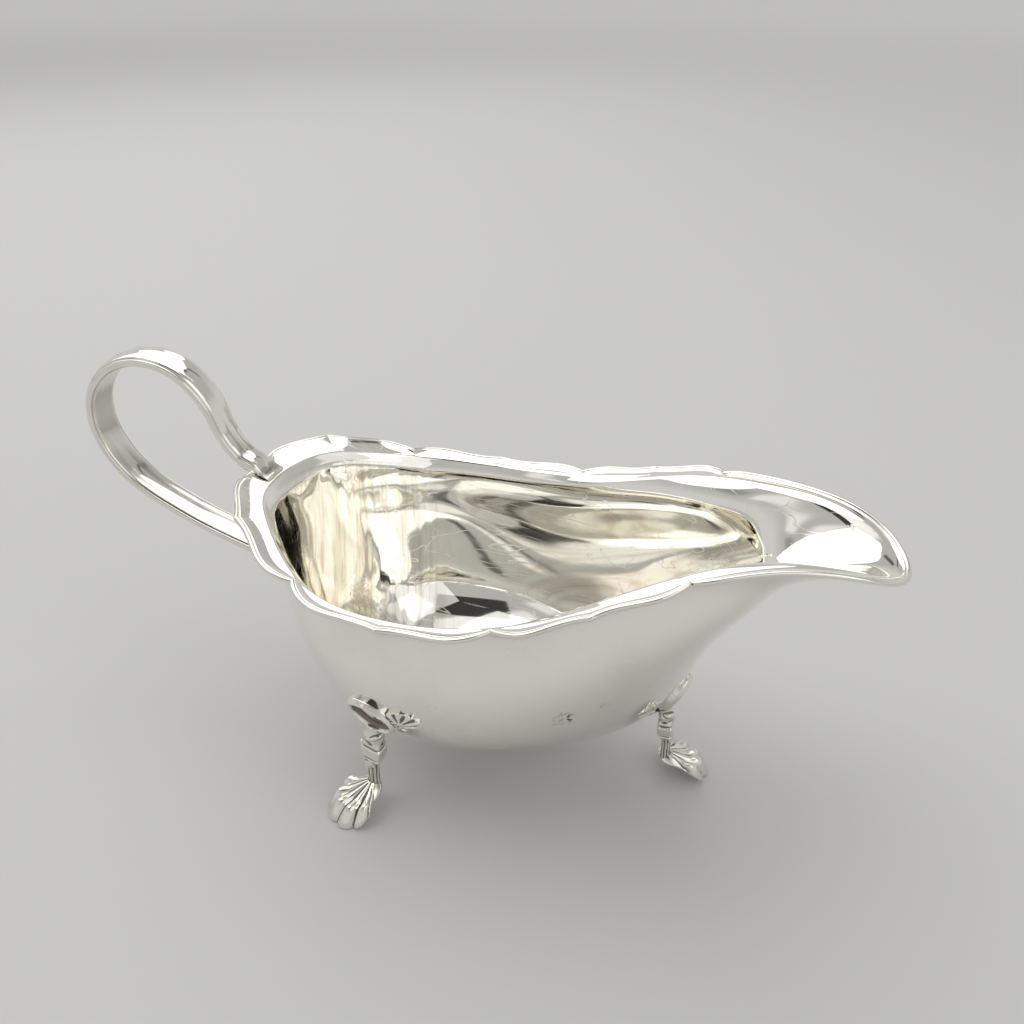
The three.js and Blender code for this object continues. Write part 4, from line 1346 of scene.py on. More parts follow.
@dataclass
class Handle:
    """Flying loop: domed strap with lipped edges, wings along the rim, tongue under its root."""

    hull: Hull
    shift: float
    line: tuple[tuple[float, float], ...] = (
        (-3.0, -1.3),
        (-1.3, -0.55),
        (0.6, 0.55),
        (2.6, 1.35),
        (4.2, 2.3),
        (7.0, 6.1),
        (10.2, 13.7),
        (15.9, 19.1),
        (23.1, 20.5),
        (30.8, 18.0),
        (36.5, 11.2),
        (37.1, 3.1),
        (31.9, -5.9),
        (18.3, -13.7),
    )
    seat_drop: float = 22.4
    seat_samples: int = 4001
    width: float = 7.4
    neck_width: float = 6.0
    thickness: float = 2.6
    root_thickness: float = 0.5
    root_end: float = 0.055
    neck_end: float = 0.3
    crown: float = 0.6
    crown_fullness: float = 0.62
    back_fullness: float = 0.6
    ridge: float = 0.05
    ridge_reach: float = 0.2
    keel: float = 0.1
    keel_place: float = -0.15
    keel_reach: float = 0.3
    keel_start: float = 0.55
    keel_fade: float = 0.15
    groove: float = 0.17
    groove_place: float = 0.87
    groove_reach: float = 0.045
    wing_reach: float = 5.3
    wing_radius: float = 0.85
    wing_end_radius: float = 0.22
    wing_fade: float = 0.85
    wing_out: float = 0.1
    wing_drop: float = 0.1
    wing_span: float = 0.5
    wing_samples: int = 400
    wing_knots: int = 40
    wing_steps: int = 90
    wing_sides: int = 28
    tongue_line: tuple[tuple[float, float], ...] = ((0.4, -0.35), (0.75, 0.15), (1.0, 1.0))
    tongue_start: tuple[float, float] = (-0.8, -0.5)
    tongue_length: float = 7.0
    tongue_width: float = 5.2
    tongue_thickness: float = 0.8
    tongue_point: float = 1.6
    tongue_fullness: float = 0.8
    tongue_steps: int = 32
    tongue_sides: int = 32
    steps: int = 300
    sides: int = 112
    hollow_rounds: int = 2
    hollow_depth: float = 2.5e-6
    finish: SilverFinish = SilverFinish(
        "cast_handle_polish", roughness=0.055, haze=0.05, hairline=0.12, groove=0.4
    )

    def build(self) -> bpy.types.Object:
        """Builds and dresses the handle.

        Returns:
            The finished piece.
        """
        shell = Shell()
        shell.loft(self._strap_rings())
        shell.loft(self._tongue_rings())
        shell.loft(self._wing_rings())
        piece = shell.object("loop_handle")
        mark_hollows(piece, self.hollow_rounds, self.hollow_depth)
        piece.data.materials.append(self.finish.material())
        return piece

    def _behind(self, behind: float, above: float) -> Array:
        """Point behind and above the stern edge."""
        stern = self.hull.edge(np.array([math.pi]))[0]
        return np.array([stern[0] + self.shift - behind, 0.0, stern[2] + above])

    def _strap_path(self) -> Path:
        """Centre line of the strap, from its upper seat to the wall.

        Returns:
            The path.
        """
        stern = self.hull.edge(np.array([math.pi]))[0]
        levels = np.linspace(0.0, 1.0, self.seat_samples)
        heights = self.hull.point(levels, math.pi)[:, 2]
        level = float(np.interp(-(stern[2] - self.seat_drop), -heights, levels))
        seat = self.hull.off(level, math.pi, -self.hull.wall / 2) + np.array([self.shift, 0, 0])
        return Path([*(self._behind(*place) for place in self.line), seat])

    def _strap_rings(self) -> list[Array]:
        """Sections of the strap along its path.

        Returns:
            Rings from the root to the lower seat.
        """
        path = self._strap_path()
        turns = round_turns(self.sides)
        rings = []
        for along in np.linspace(0.0, 1.0, self.steps + 1):
            centre, tangent = path.at(along), path.tangent(along)
            outward = np.array([tangent[2], 0.0, -tangent[0]])
            across, out = self._section(along, turns)
            ring = centre + outward * out[:, None]
            ring[:, 1] += across
            rings.append(ring)
        return rings

    def _section(self, along: float, turns: Array) -> tuple[Array, Array]:
        """Places across the strap and out from its centre line.

        Args:
            along: Share of the strap's length.
            turns: Angles round the section.

        Returns:
            Distances across and outward.
        """
        rooted = 1.0 - ease(along / self.root_end)
        width = lerp(self.neck_width, self.width, ease(along / self.neck_end))
        thickness = lerp(self.thickness, self.root_thickness, rooted)
        cosine, sine = np.cos(turns), np.sin(turns)
        across = np.sign(cosine) * np.abs(cosine) ** self.crown_fullness
        crown = self.crown * np.abs(sine) + self.ridge * bump(across, 0.0, self.ridge_reach)
        cut = self.groove * bump(np.abs(across), self.groove_place, self.groove_reach)
        cut = cut * (1 - rooted)
        back = (1 - self.crown) * np.abs(sine) ** self.back_fullness
        keel = self.keel * bump(across, self.keel_place, self.keel_reach)
        back = back + keel * ease((along - self.keel_start) / self.keel_fade)
        out = np.where(sine >= 0, crown * thickness, -back * thickness) - np.sign(sine) * cut
        return across * width / 2, out

    def _tongue_rings(self) -> list[Array]:
        """Sections of the flat pointed tongue under the root.

        Returns:
            Rings from the root to the point.
        """
        line = [self._behind(self.tongue_length * far, up) for far, up in self.tongue_line]
        path = Path([self._behind(*self.tongue_start), *line])
        turns = round_turns(self.tongue_sides)
        cosine, sine = np.cos(turns), np.sin(turns)
        across = np.sign(cosine) * np.abs(cosine) ** self.tongue_fullness
        rings = []
        for along in np.linspace(0.0, 1.0, self.tongue_steps + 1)[:-1]:
            tangent = path.tangent(along)
            outward = np.array([tangent[2], 0.0, -tangent[0]])
            half = self.tongue_width / 2 * (1.0 - along**self.tongue_point) ** self.tongue_fullness
            thick = self.tongue_thickness / 2 * math.sqrt(1.0 - along)
            ring = path.at(along) + outward * (thick * sine)[:, None]
            ring[:, 1] += half * across
            rings.append(ring)
        return [*rings, path.at(1.0)[None, :]]

    def _wing_rings(self) -> list[Array]:
        """Tapered wings that run from the root along the rim's edge on both sides.

        Returns:
            Rings from one tip to the other.
        """
        span = (math.pi - self.wing_span, math.pi + self.wing_span)
        angles = np.linspace(*span, self.wing_samples)
        wrapped = np.where(angles > math.pi, angles - 2 * math.pi, angles)
        line = self.hull.edge(wrapped, self.wing_out)
        line = line[np.abs(line[:, 1]) < self.wing_reach]
        line = line + np.array([self.shift, 0, -self.wing_drop])
        path = Path(line[:: max(1, len(line) // self.wing_knots)], fineness=4)
        turns = round_turns(self.wing_sides)
        up = np.array([0.0, 0.0, 1.0])
        rings = []
        for along in np.linspace(0.0, 1.0, self.wing_steps):
            side = unit(np.cross(path.tangent(along), up))
            nearness = 1.0 - abs(2.0 * along - 1.0)
            radius = lerp(self.wing_end_radius, self.wing_radius, ease(nearness / self.wing_fade))
            spoke = side * np.cos(turns)[:, None] + up * np.sin(turns)[:, None]
            rings.append(path.at(along) + spoke * radius)
        return rings


@dataclass(frozen=True)
class Seat:
    """Where a foot sits on the wall, where its ankle stands and how far its shell is turned."""

    level: float
    angle: float
    lean: float
    leaf_lean: float
    leg_place: float
    ankle_out: float
    ankle_aft: float
    turn: float
    side: Side = Side.LEFT


@dataclass(frozen=True)
class Lobe:
    """Oval lobe beside the leg.

    It sits at a place along the leg, out from it and beside it. The direction of its length is
    given by how much it rises and turns aside, and half holds its half length, width and thickness.
    """

    along: float
    out: float
    beside: float
    rise: float
    turn: float
    half: tuple[float, float, float]


@dataclass
class Foot:
    """One casting: dished knee, ribbed leaf, collared leg with lobed knuckle, and fluted shell."""

    hull: Hull
    shift: float
    name: str
    seat: Seat
    knee_length: float = 10.8
    knee_width: float = 7.8
    knee_height: float = 1.75
    knee_hollow: float = 1.3
    knee_edge_fall: float = 0.6
    border_place: float = 0.82
    border_reach: float = 0.13
    leaf_length: float = 6.6
    leaf_width: float = 4.8
    leaf_height: float = 1.35
    leaf_ribs: int = 4
    leaf_rib_depth: float = 0.55
    leaf_rib_start: float = 0.6
    leaf_scallop: float = 0.1
    leg_start: float = 0.23
    leg_radius: float = 1.15
    stem_radius: float = 1.55
    leg_flatness: float = 0.8
    leg_breadth: float = 1.08
    ankle_height: float = 8.6
    collar_radius: float = 2.05
    collar_place: float = 0.36
    collar_reach: float = 0.045
    knuckle_radius: float = 1.95
    knuckle_place: float = 0.56
    knuckle_reach: float = 0.125
    knuckle_squareness: float = 7.0
    knuckle_breadth: float = 0.06
    cut_depth: float = 0.4
    cut_above: float = 0.075
    cut_below: float = 0.07
    cut_reach: float = 0.012
    stem_fade: float = 0.1
    rib_start: float = 0.68
    rib_fade: float = 0.08
    rib_depth: float = 0.09
    rib_count: int = 9
    leg_steps: int = 100
    lobes: tuple[Lobe, ...] = (
        Lobe(along=0.70, out=0.75, beside=-0.1, rise=1.0, turn=0.6, half=(2.1, 1.3, 0.8)),
        Lobe(along=0.36, out=0.45, beside=0.2, rise=0.5, turn=1.0, half=(2.3, 0.8, 1.3)),
        Lobe(along=0.60, out=0.5, beside=-1.6, rise=1.0, turn=-0.6, half=(1.6, 0.8, 0.9)),
        Lobe(along=0.50, out=0.6, beside=-1.7, rise=1.0, turn=-0.9, half=(1.3, 0.6, 0.8)),
    )
    bead_radius: float = 0.62
    bead_places: tuple[float, ...] = (0.44, 0.51, 0.58, 0.65)
    bead_back: float = 0.75
    bead_beside: float = 0.9
    shell_height: float = 6.7
    shell_reach: float = 9.9
    shell_spread: float = 118.0
    shell_flutes: int = 5
    flute_depth: float = 1.25
    flute_start: float = 0.35
    flute_steps: int = 22
    ball_height: float = 1.15
    ball_place: float = 0.78
    ball_reach: float = 0.16
    shell_steps: int = 44
    heel_steps: int = 44
    shell_cutback: float = 0.3
    shell_slope: float = 0.6
    shell_rounding: float = 4.0
    sole_place: float = 0.6
    heel_radius: float = 1.4
    heel_squareness: float = 0.3
    heel_lift: float = 4.6
    boss_first: float = 0.06
    boss_steps: int = 22
    boss_sides: int = 96
    leg_sides: int = 96
    lobe_sides: int = 32
    lobe_steps: int = 20
    voxel: float = 0.12
    softening: float = 0.5
    softening_rounds: int = 5
    hollow_rounds: int = 3
    hollow_depth: float = 1.3e-6
    finish: SilverFinish = SilverFinish(
        "cast_foot_polish", roughness=0.06, haze=0.05, hairline=0.08, groove=0.9
    )

    def build(self) -> bpy.types.Object:
        """Builds and dresses the foot.

        Returns:
            The finished piece.
        """
        shell = Shell()
        self._stand()
        shapes = [self._knee_rings(), self._leaf_rings(), self._leg_rings(), self._shell_rings()]
        shapes.extend(self._knuckle_lobes())
        for rings in shapes:
            shell.loft([np.atleast_2d(ring) + np.array([self.shift, 0, 0]) for ring in rings])
        piece = shell.object(self.name)
        self._fuse(piece)
        mark_hollows(piece, self.hollow_rounds, self.hollow_depth)
        piece.data.materials.append(self.finish.material())
        return piece

    def _stand(self) -> None:
        """Works out where the leg springs and stands, and which way the shell looks."""
        self.mirror = -1.0 if self.seat.side is Side.RIGHT else 1.0
        self.angle = math.radians(self.seat.angle) * self.mirror
        self.lean = math.radians(self.seat.lean) * self.mirror
        self.spring = self._over(self.seat.leg_place, 0.0, 0.0)
        out = self._over(self.seat.leg_place, 0.0, 1.0) - self.spring
        self.out = unit(np.array([out[0], out[1], 0.0]))
        self.beside = np.array([-self.out[1], self.out[0], 0.0])
        turn = math.radians(self.seat.turn) * self.mirror
        cosine, sine = math.cos(turn), math.sin(turn)
        x, y, _ = self.out
        self.forward = np.array([x * cosine - y * sine, x * sine + y * cosine, 0.0])
        self.sideways = np.array([-self.forward[1], self.forward[0], 0.0])
        aft = self.beside * self.seat.ankle_aft * self.mirror
        self.ankle = self.spring + self.out * self.seat.ankle_out + aft
        self.ankle[2] = self.ankle_height
        self.hinge = self.ankle * np.array([1.0, 1.0, 0.0])

    def _over(self, up: Any, across: Any, distance: Any, lean: float | None = None) -> Array:
        """Points over the wall round the knee.

        Args:
            up: Distance up the wall from the knee's middle.
            across: Distance across the wall.
            distance: Distance off the wall.
            lean: Lean of these directions, where it is another than the knee's.

        Returns:
            Points in millimetres from amidships.
        """
        level, angle, d, hull = self.seat.level, self.angle, NUDGE, self.hull
        lean = self.lean if lean is None else lean
        down = hull.point(level + d, angle) - hull.point(level - d, angle)
        round_ = hull.point(level, angle + d) - hull.point(level, angle - d)
        level_length = np.linalg.norm(down) / (2 * d)
        angle_length = np.linalg.norm(round_) / (2 * d)
        climb = up * math.cos(lean) - across * math.sin(lean)
        sweep = up * math.sin(lean) + across * math.cos(lean)
        return hull.off(level - climb / level_length, angle + sweep / angle_length, distance)

    def _boss(
        self,
        middle: float,
        half: tuple[float, float],
        height: Callable[[float, Array], Array],
        lean: float | None = None,
        scallop: Callable[[Array], Array] = np.ones_like,
    ) -> list[Array]:
        """Rings of a boss that follows the wall.

        Args:
            middle: How far up the wall its middle lies.
            half: Half length and half width.
            height: Height over its own radius and turn.
            lean: Its lean, where it is another than the knee's.
            scallop: Factor on the radius over the turn.

        Returns:
            Rings from its top to its bottom, which is sunk in the wall.
        """
        turns = round_turns(self.boss_sides)
        shape = scallop(turns)

        def ring(radius: float, distance: Any) -> Array:
            """One ring at a part of the radius."""
            up = middle + half[0] * radius * shape * np.cos(turns)
            return self._over(up, half[1] * radius * shape * np.sin(turns), distance, lean)

        zero = np.zeros(1)
        rings = [self._over(np.array([middle]), zero, height(0.0, zero), lean)]
        for radius in np.linspace(self.boss_first, 1.0, self.boss_steps):
            rings.append(ring(float(radius), height(float(radius), turns)))
        sunk = -self.hull.wall / 2
        rings.append(ring(1.0, np.full_like(turns, sunk)))
        rings.append(self._over(np.array([middle]), zero, np.array([sunk]), lean))
        return rings

    def _knee_rings(self) -> list[Array]:
        """Dished oval with a raised border.

        Returns:
            Rings from its top to its bottom.
        """

        def height(radius: float, turn: Array) -> Array:
            """Height of the dish and its border.

            Args:
                radius: Share of the radius.
                turn: Angles round the oval.

            Returns:
                Height over the wall at each angle.
            """
            border = bump(radius, self.border_place, self.border_reach)
            outer_fall = self.knee_height * self.knee_edge_fall
            fall = self.knee_hollow if radius < self.border_place else outer_fall
            return np.full_like(turn, self.knee_height - fall * (1 - border))

        return self._boss(0.0, (self.knee_length / 2, self.knee_width / 2), height)

    def _leaf_rings(self) -> list[Array]:
        """Small leaf at the knee's end, with ribs that run to a scalloped border.

        Returns:
            Rings from its top to its bottom.
        """
        middle = -(self.knee_length + self.leaf_length) / 2 + self.leaf_width / 2
        lean = self.lean + math.radians(self.seat.leaf_lean) * self.mirror

        def height(radius: float, turn: Array) -> Array:
            """Height of the leaf with its ribs.

            Args:
                radius: Share of the radius.
                turn: Angles round the leaf.

            Returns:
                Height over the wall at each angle.
            """
            rib = 0.5 + 0.5 * np.cos(2 * self.leaf_ribs * turn)
            crown = self.leaf_height * (1 - 0.5 * radius**2)
            cut = self.leaf_rib_depth * (1 - rib) * ease(radius / self.leaf_rib_start)
            return crown * (1 - cut)

        def scallop(turn: Array) -> Array:
            """Border that is cut in between the ribs."""
            return 1.0 - self.leaf_scallop * (0.5 - 0.5 * np.cos(2 * self.leaf_ribs * turn))

        half = (self.leaf_length / 2, self.leaf_width / 2)
        return self._boss(middle, half, height, lean, scallop)

    def _leg_path(self) -> Path:
        """Line of the leg from inside the knee down into the shell.

        Returns:
            The path.
        """
        root = self.spring + np.array([0, 0, self.collar_radius])
        heel = self.ankle.copy()
        heel[2] = self.shell_height - self.heel_radius
        return Path([root, lerp(self.spring, self.ankle, 0.5), self.ankle, heel])

    def _leg_rings(self) -> list[Array]:
        """Leg with a collar, a knuckle with a flat front face, and a ribbed ankle.

        Returns:
            Rings from the knee down.
        """
        path = self._leg_path()
        turns = round_turns(self.leg_sides)
        cosine, sine = np.cos(turns), np.sin(turns)
        rings = []
        for along in np.linspace(self.leg_start, 1, self.leg_steps):
            tangent = path.tangent(along)
            side = unit(np.cross(tangent, self.out))
            face = np.cross(side, tangent)
            past = along - self.knuckle_place
            block = math.exp(-(abs(past / self.knuckle_reach) ** 4))
            radius = self._leg_radius(along, block)
            ribbed = ease((along - self.rib_start) / self.rib_fade)
            radius = radius * (1 + self.rib_depth * np.cos(self.rib_count * turns) * ribbed)
            power = 2.0 + self.knuckle_squareness * block
            wide = self.leg_breadth + self.knuckle_breadth * block
            square = (np.abs(cosine) ** power + np.abs(sine) ** power) ** (-1.0 / power)
            spoke = face * (cosine * self.leg_flatness)[:, None] + side * (sine * wide)[:, None]
            rings.append(path.at(along) + spoke * (radius * square)[:, None])
        return rings

    def _leg_radius(self, along: float, block: float) -> Array:
        """Radius of the leg with its collar, its knuckle and the cuts above and below that.

        Args:
            along: Share of the leg's length.
            block: How much of the knuckle there is.

        Returns:
            Radius in millimetres.
        """
        knuckle = self.knuckle_place
        collar = self.collar_radius - self.stem_radius
        collar = collar * bump(along, self.collar_place, self.collar_reach)
        stem = lerp(self.stem_radius, self.leg_radius, ease((along - knuckle) / self.stem_fade))
        cuts = bump(along, knuckle - self.cut_above, self.cut_reach)
        cuts = cuts + bump(along, knuckle + self.cut_below, self.cut_reach)
        return stem + collar + (self.knuckle_radius - stem) * block - self.cut_depth * cuts

    def _knuckle_lobes(self) -> list[list[Array]]:
        """Lobes round the knuckle, and the row of beads at its other side.

        Returns:
            The rings of each lobe and bead.
        """
        path = self._leg_path()
        up = np.array([0.0, 0.0, 1.0])
        left = -self.beside * self.mirror
        shapes = []
        for lobe in self.lobes:
            middle = path.at(lobe.along) + self.out * lobe.out + left * lobe.beside
            axis = unit(up * lobe.rise + left * lobe.turn)
            shapes.append(self._lobe(middle, axis, self.out, lobe.half))
        for along in self.bead_places:
            back = self.out * (self.leg_radius * self.bead_back)
            middle = path.at(along) - back + left * self.bead_beside
            shapes.append(self._lobe(middle, up, self.out, (self.bead_radius,) * 3))
        return shapes

    def _lobe(
        self, middle: Array, axis: Array, toward: Array, half: tuple[float, float, float]
    ) -> list[Array]:
        """Rings of an oval lobe.

        Args:
            middle: Its middle.
            axis: Direction of its length.
            toward: Direction that it faces.
            half: Half length, half width and half thickness.

        Returns:
            Rings from one end to the other.
        """
        side = unit(np.cross(axis, toward))
        face = np.cross(side, axis)
        turns = round_turns(self.lobe_sides)
        spoke = side * (np.cos(turns) * half[1])[:, None]
        spoke = spoke + face * (np.sin(turns) * half[2])[:, None]
        rings = [(middle + axis * half[0])[None, :]]
        for angle in np.linspace(0, np.pi, self.lobe_steps)[1:-1]:
            rings.append(middle + spoke * math.sin(angle) + axis * half[0] * math.cos(angle))
        rings.append((middle - axis * half[0])[None, :])
        return rings

    def _shell_rings(self) -> list[Array]:
        """Fluted shell from its hinge to the scalloped edge, with its sole below.

        Returns:
            Rings from the top down to the sole.
        """
        half, steps = math.radians(self.shell_spread / 2), self.shell_steps
        fan = np.linspace(-half, half, self.shell_flutes * self.flute_steps, endpoint=False)
        back = np.linspace(half, 2 * np.pi - half, self.heel_steps, endpoint=False)
        turns = np.concatenate([fan, back])
        behind = turns > half - TINY
        place = (turns / half + 1) / 2 * self.shell_flutes
        in_flute = 2 * (place - np.floor(place + TINY)) - 1
        bulge = np.where(behind, 0.0, np.sqrt(np.clip(1 - in_flute**2, 0, 1)) - 1)
        across = np.where(behind, 1.0, np.abs(turns) / half)
        turned = np.sin(np.clip((turns - half) / (2 * np.pi - 2 * half), 0, 1) * np.pi)
        turned = np.where(behind, turned, 0.0)
        reach = self.shell_reach * (1 - self.shell_cutback * across**2)
        outline = lerp(reach, self.heel_radius, turned**self.heel_squareness)
        outline = outline + self.flute_depth * bulge
        ahead = (outline * np.cos(turns) + self.heel_radius) / self.shell_reach
        lift = self.heel_lift * (1 - ease(ahead))
        rings = [(self.hinge + np.array([0, 0, self.shell_height]))[None, :]]
        for step in range(1, steps + 1):
            share = math.sin(math.pi / 2 * step / steps)
            length = outline * share
            ring = self.hinge + self.forward * (length * np.cos(turns))[:, None]
            ring = ring + self.sideways * (length * np.sin(turns))[:, None]
            rounding = math.sqrt(max(1 - share**self.shell_rounding, 0.0))
            crest = (1 - self.shell_slope * share) * rounding
            groove = self.flute_depth * bulge * math.sin(math.pi * share)
            groove = groove * (self.flute_start + share)
            ball = self.ball_height * (1 + bulge)
            ball = ball * bump(share, self.ball_place, self.ball_reach) * ~behind
            ring[:, 2] = lift + (self.shell_height - lift) * crest + groove + ball
            rings.append(ring)
        rings.append((self.hinge + self.forward * self.shell_reach * self.sole_place)[None, :])
        return rings

    def _fuse(self, piece: bpy.types.Object) -> None:
        """Runs the parts of the casting into one skin and softens it a little.

        Args:
            piece: The parts of the casting.
        """
        remesh = piece.modifiers.new("fuse", "REMESH")
        remesh.mode = "VOXEL"
        remesh.voxel_size = self.voxel * MM
        smooth = piece.modifiers.new("soften", "SMOOTH")
        smooth.factor = self.softening
        smooth.iterations = self.softening_rounds
        bake_modifiers(piece)


@dataclass(frozen=True)
class Panel:
    """A rectangular patch of the studio's surroundings, seen from the table.

    The azimuth is measured from the spout toward the boat's left side, and the half sizes are
    tangents of the angles seen from its middle.
    """

    azimuth: float
    height: float
    half_width: float
    half_height: float
    tone: float
    softness: float = 0.03
    least_depth: float = 1e-3
    front_end: float = 0.01

    def mask(self, bench: Bench, way: Wire) -> Wire:
        """Mask that is one in the patch.

        Args:
            bench: Where the nodes go.
            way: Direction looked in.

        Returns:
            Value from zero to one.
        """
        azimuth, height = math.radians(self.azimuth), math.radians(self.height)
        cosine, sine, level = math.cos(azimuth), math.sin(azimuth), math.cos(height)
        toward = Vector((cosine * level, sine * level, math.sin(height)))
        beside = Vector((-sine, cosine, 0.0))
        depth = bench.dot(way, toward)
        mask = depth.within(0.0, self.front_end)
        for axis, half in ((beside, self.half_width), (toward.cross(beside), self.half_height)):
            off = abs(bench.dot(way, axis) / depth.largest(self.least_depth))
            mask = mask * off.within(half + self.softness, half - self.softness)
        return mask


@dataclass(frozen=True)
class Lamp:
    """A soft square lamp that looks at the boat, with lengths in metres and power in watts."""

    name: str
    place: tuple[float, float, float]
    size: float
    power: float
    aim: tuple[float, float, float] = (0.0, 0.0, 0.04)

    def hang(self) -> None:
        """Adds the lamp to the scene."""
        data = bpy.data.lights.new(self.name, "AREA")
        data.shape = "SQUARE"
        data.size = self.size
        data.energy = self.power
        lamp = bpy.data.objects.new(self.name, data)
        lamp.location = self.place
        look = Vector(self.aim) - Vector(self.place)
        lamp.rotation_euler = look.to_track_quat("-Z", "Y").to_euler()
        bpy.context.scene.collection.objects.link(lamp)


@dataclass
class Studio:
    """Plain pale floor, soft light, surroundings for the silver to mirror, and the camera."""

    floor_tone: tuple[float, float, float] = (0.66, 0.657, 0.65)
    far_tone: tuple[float, float, float] = (0.97, 0.967, 0.96)
    far_start: float = 0.4
    far_end: float = 2.2
    floor_size: float = 9.0
    floor_roughness: float = 0.75
    floor_shine: float = 0.2
    horizon_end: float = 0.2
    zenith_start: float = 0.55
    zenith: tuple[float, float, float] = (0.46, 0.46, 0.455)
    horizon: tuple[float, float, float] = (0.62, 0.618, 0.612)
    panels: tuple[Panel, ...] = (
        Panel(-60.0, 86.0, 0.32, 0.22, 0.95),
        Panel(-152.0, 59.0, 0.28, 0.18, 0.82, 0.05),
        Panel(-168.0, 37.0, 0.25, 0.08, 0.30, 0.06),
        Panel(-6.0, 46.0, 0.24, 0.22, 0.80),
        Panel(121.0, 42.0, 0.10, 0.20, 0.95, 0.05),
        Panel(-133.0, 35.0, 0.14, 0.08, 0.80, 0.05),
        Panel(-80.0, 60.5, 0.43, 0.22, 0.045, 0.012),
        Panel(28.0, 58.0, 0.022, 0.13, 0.10, 0.01),
        Panel(42.0, 60.0, 0.05, 0.26, 0.95, 0.02),
        Panel(67.0, 42.0, 0.04, 0.18, 0.12, 0.02),
        Panel(160.0, 66.0, 0.20, 0.08, 1.0),
        Panel(172.0, 44.0, 0.05, 0.24, 0.28, 0.05),
        Panel(-176.0, 42.0, 0.03, 0.24, 0.75),
    )
    panel_tint: tuple[float, float, float] = (1.0, 0.99, 0.97)
    lamps: tuple[Lamp, ...] = (
        Lamp("key", (-0.35, 0.25, 0.75), size=1.2, power=3.9),
        Lamp("fill", (0.6, -0.35, 0.6), size=0.8, power=1.0),
    )
    camera_place: tuple[float, float, float] = (64.7, -153.8, 153.0)
    camera_azimuth: float = 18.5
    camera_height: float = 30.6
    focal_pixels: float = 1000.0
    picture_pixels: float = 1024.0
    sensor_width: float = 36.0
    clip_start: float = 0.005
    clip_end: float = 50.0

    def build(self, shift: float) -> None:
        """Sets up floor, world, lamps, camera and view.

        Args:
            shift: Place of amidships along the frame, in millimetres.
        """
        self._floor()
        self._world()
        for lamp in self.lamps:
            lamp.hang()
        self._camera(shift)
        bpy.context.scene.view_settings.view_transform = "Standard"

    def _floor(self) -> None:
        """Pale matt floor under the boat."""
        half = self.floor_size / 2
        mesh = bpy.data.meshes.new("floor")
        corners = [(-half, -half, 0), (half, -half, 0), (half, half, 0), (-half, half, 0)]
        mesh.from_pydata(corners, [], [(0, 1, 2, 3)])
        floor = bpy.data.objects.new("floor", mesh)
        bpy.context.scene.collection.objects.link(floor)
        material = bpy.data.materials.new("pale_floor")
        material.use_nodes = True
        bench = Bench(material.node_tree)
        place = bench.add("ShaderNodeTexCoord", {}, {}, "Object")
        away = bench.add("ShaderNodeVectorMath", {"operation": "LENGTH"}, {0: place}, "Value")
        far = away.within(self.far_start, self.far_end)
        matt = {
            "Base Color": bench.mix(far, self.floor_tone, self.far_tone),
            "Roughness": self.floor_roughness,
            "Specular IOR Level": self.floor_shine,
        }
        shader = bench.add("ShaderNodeBsdfPrincipled", {}, matt)
        bench.add("ShaderNodeOutputMaterial", {}, {"Surface": shader})
        mesh.materials.append(material)

    def _world(self) -> None:
        """Plain pale surroundings, with bright windows and dark screens well above the table."""
        world = bpy.data.worlds.new("studio")
        bpy.context.scene.world = world
        world.use_nodes = True
        bench = Bench(world.node_tree)
        way = bench.add("ShaderNodeTexCoord", {}, {}, "Generated")
        climb = bench.dot(way, (0.0, 0.0, 1.0)).within(self.horizon_end, self.zenith_start)
        colour = bench.mix(climb, self.horizon, self.zenith)
        for panel in self.panels:
            tone = tuple(panel.tone * tint for tint in self.panel_tint)
            colour = bench.mix(panel.mask(bench, way), colour, tone)
        light = bench.add("ShaderNodeBackground", {}, {"Color": colour, "Strength": 1.0})
        bench.add("ShaderNodeOutputWorld", {}, {"Surface": light})

    def _camera(self, shift: float) -> None:
        """Puts the camera at the angle from which the boat is seen.

        Args:
            shift: Place of amidships along the frame, in millimetres.
        """
        data = bpy.data.cameras.new("camera")
        data.sensor_fit = "HORIZONTAL"
        data.sensor_width = self.sensor_width
        data.lens = self.sensor_width * self.focal_pixels / self.picture_pixels
        data.clip_start = self.clip_start
        data.clip_end = self.clip_end
        camera = bpy.data.objects.new("camera", data)
        azimuth, height = math.radians(self.camera_azimuth), math.radians(self.camera_height)
        cosine, sine, level = math.cos(azimuth), math.sin(azimuth), math.cos(height)
        forward = Vector((-sine * level, cosine * level, -math.sin(height)))
        right = Vector((cosine, sine, 0.0))
        up = right.cross(forward)
        axes = Matrix((right, up, -forward)).transposed().to_4x4()
        place = Vector(self.camera_place) + Vector((shift, 0.0, 0.0))
        camera.matrix_world = Matrix.Translation(place * MM) @ axes
        bpy.context.scene.collection.objects.link(camera)
        bpy.context.scene.camera = camera


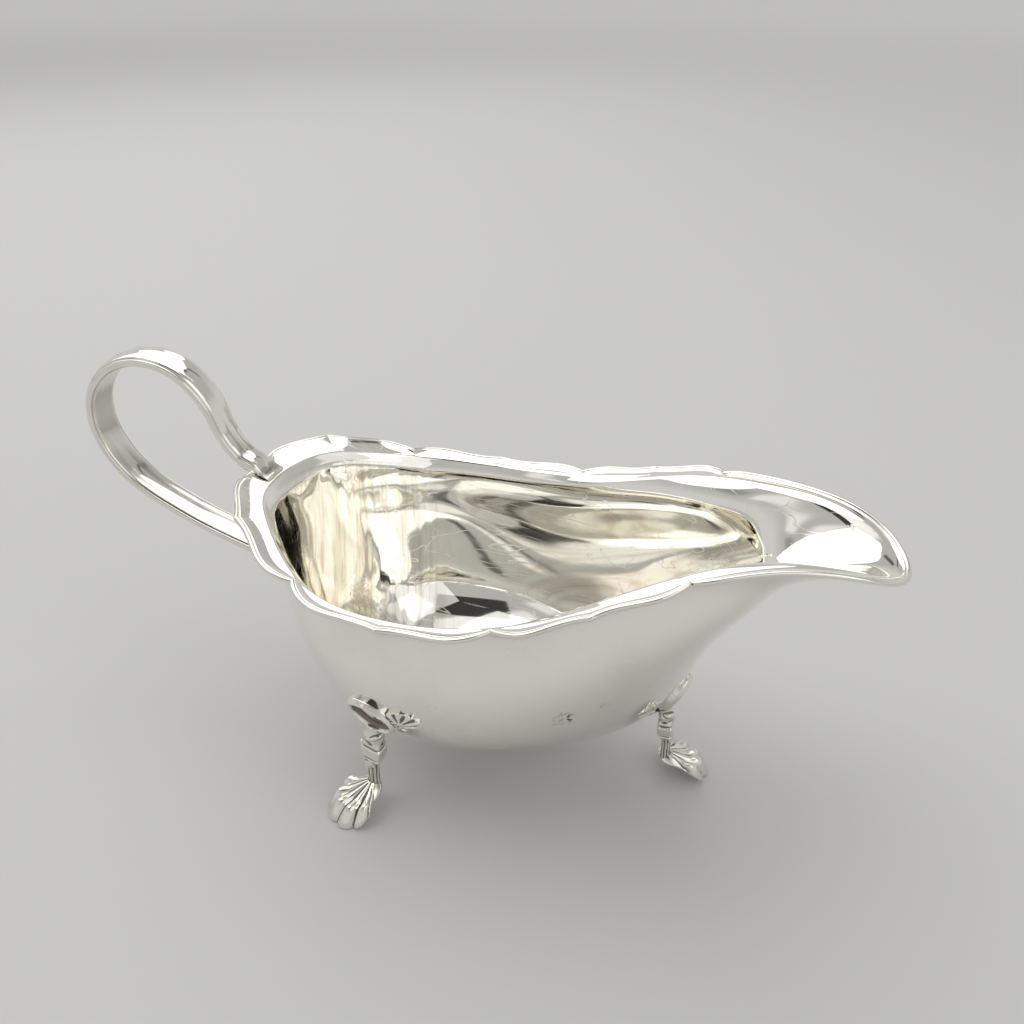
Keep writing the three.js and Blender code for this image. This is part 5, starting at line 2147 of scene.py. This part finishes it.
@dataclass
class SauceBoat:
    """The dressed boat: each piece stands for one node of the frame."""

    hull: Hull = field(default_factory=Hull)
    fore_seat: Seat = Seat(
        level=0.668,
        angle=0.0,
        lean=0.0,
        leaf_lean=0.0,
        leg_place=-2.4,
        ankle_out=0.9,
        ankle_aft=0.0,
        turn=44.0,
        side=Side.MIDDLE,
    )
    rear_seat: Seat = Seat(
        level=0.48,
        angle=104.0,
        lean=71.0,
        leaf_lean=30.0,
        leg_place=-0.3,
        ankle_out=-1.4,
        ankle_aft=2.7,
        turn=34.0,
    )

    def shift(self) -> float:
        """Place of amidships along the frame, in millimetres."""
        tip = self.hull.edge(np.array([0.0]))[0, 0]
        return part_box("bowl")[1][0] / MM - tip

    def build(self) -> None:
        """Builds every piece in order, hides the node that it stands for and hangs it on the root
        body.
        """
        shift, hull = self.shift(), self.hull
        LOG.info("amidships lies %.3f mm from the frame's middle", shift)
        left, right = self.rear_seat, replace(self.rear_seat, side=Side.RIGHT)
        self._place(Bowl(hull, shift), "bowl", Slot.SHEET)
        self._place(EdgeWire(hull, shift), "edge_wire", Slot.SHEET)
        self._place(Handle(hull, shift), "handle", Slot.CAST)
        self._place(Foot(hull, shift, "front_foot", self.fore_seat), "foot_front", Slot.CAST)
        self._place(Foot(hull, shift, "left_rear_foot", left), "foot_rear_left", Slot.CAST)
        self._place(Foot(hull, shift, "right_rear_foot", right), "foot_rear_right", Slot.CAST)

    @staticmethod
    def _place(maker: Any, node: str, slot: Slot) -> None:
        """Builds a piece, hides the node that it stands for and hangs it on the root body.

        Args:
            maker: The sub-assembly, which has a build method.
            node: Name of the node that it stands for.
            slot: Material slot of the record; not used.
        """
        piece = maker.build()
        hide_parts(node)
        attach(piece, "root")
        piece.data.calc_loop_triangles()
        LOG.info("%s: %d triangles", piece.name, len(piece.data.loop_triangles))


def main() -> None:
    """Builds the studio and the boat."""
    logging.basicConfig(level=logging.INFO, format="%(name)s: %(message)s")
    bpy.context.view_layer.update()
    boat = SauceBoat()
    Studio().build(boat.shift())
    boat.build()


if __name__ == "__main__":
    main()
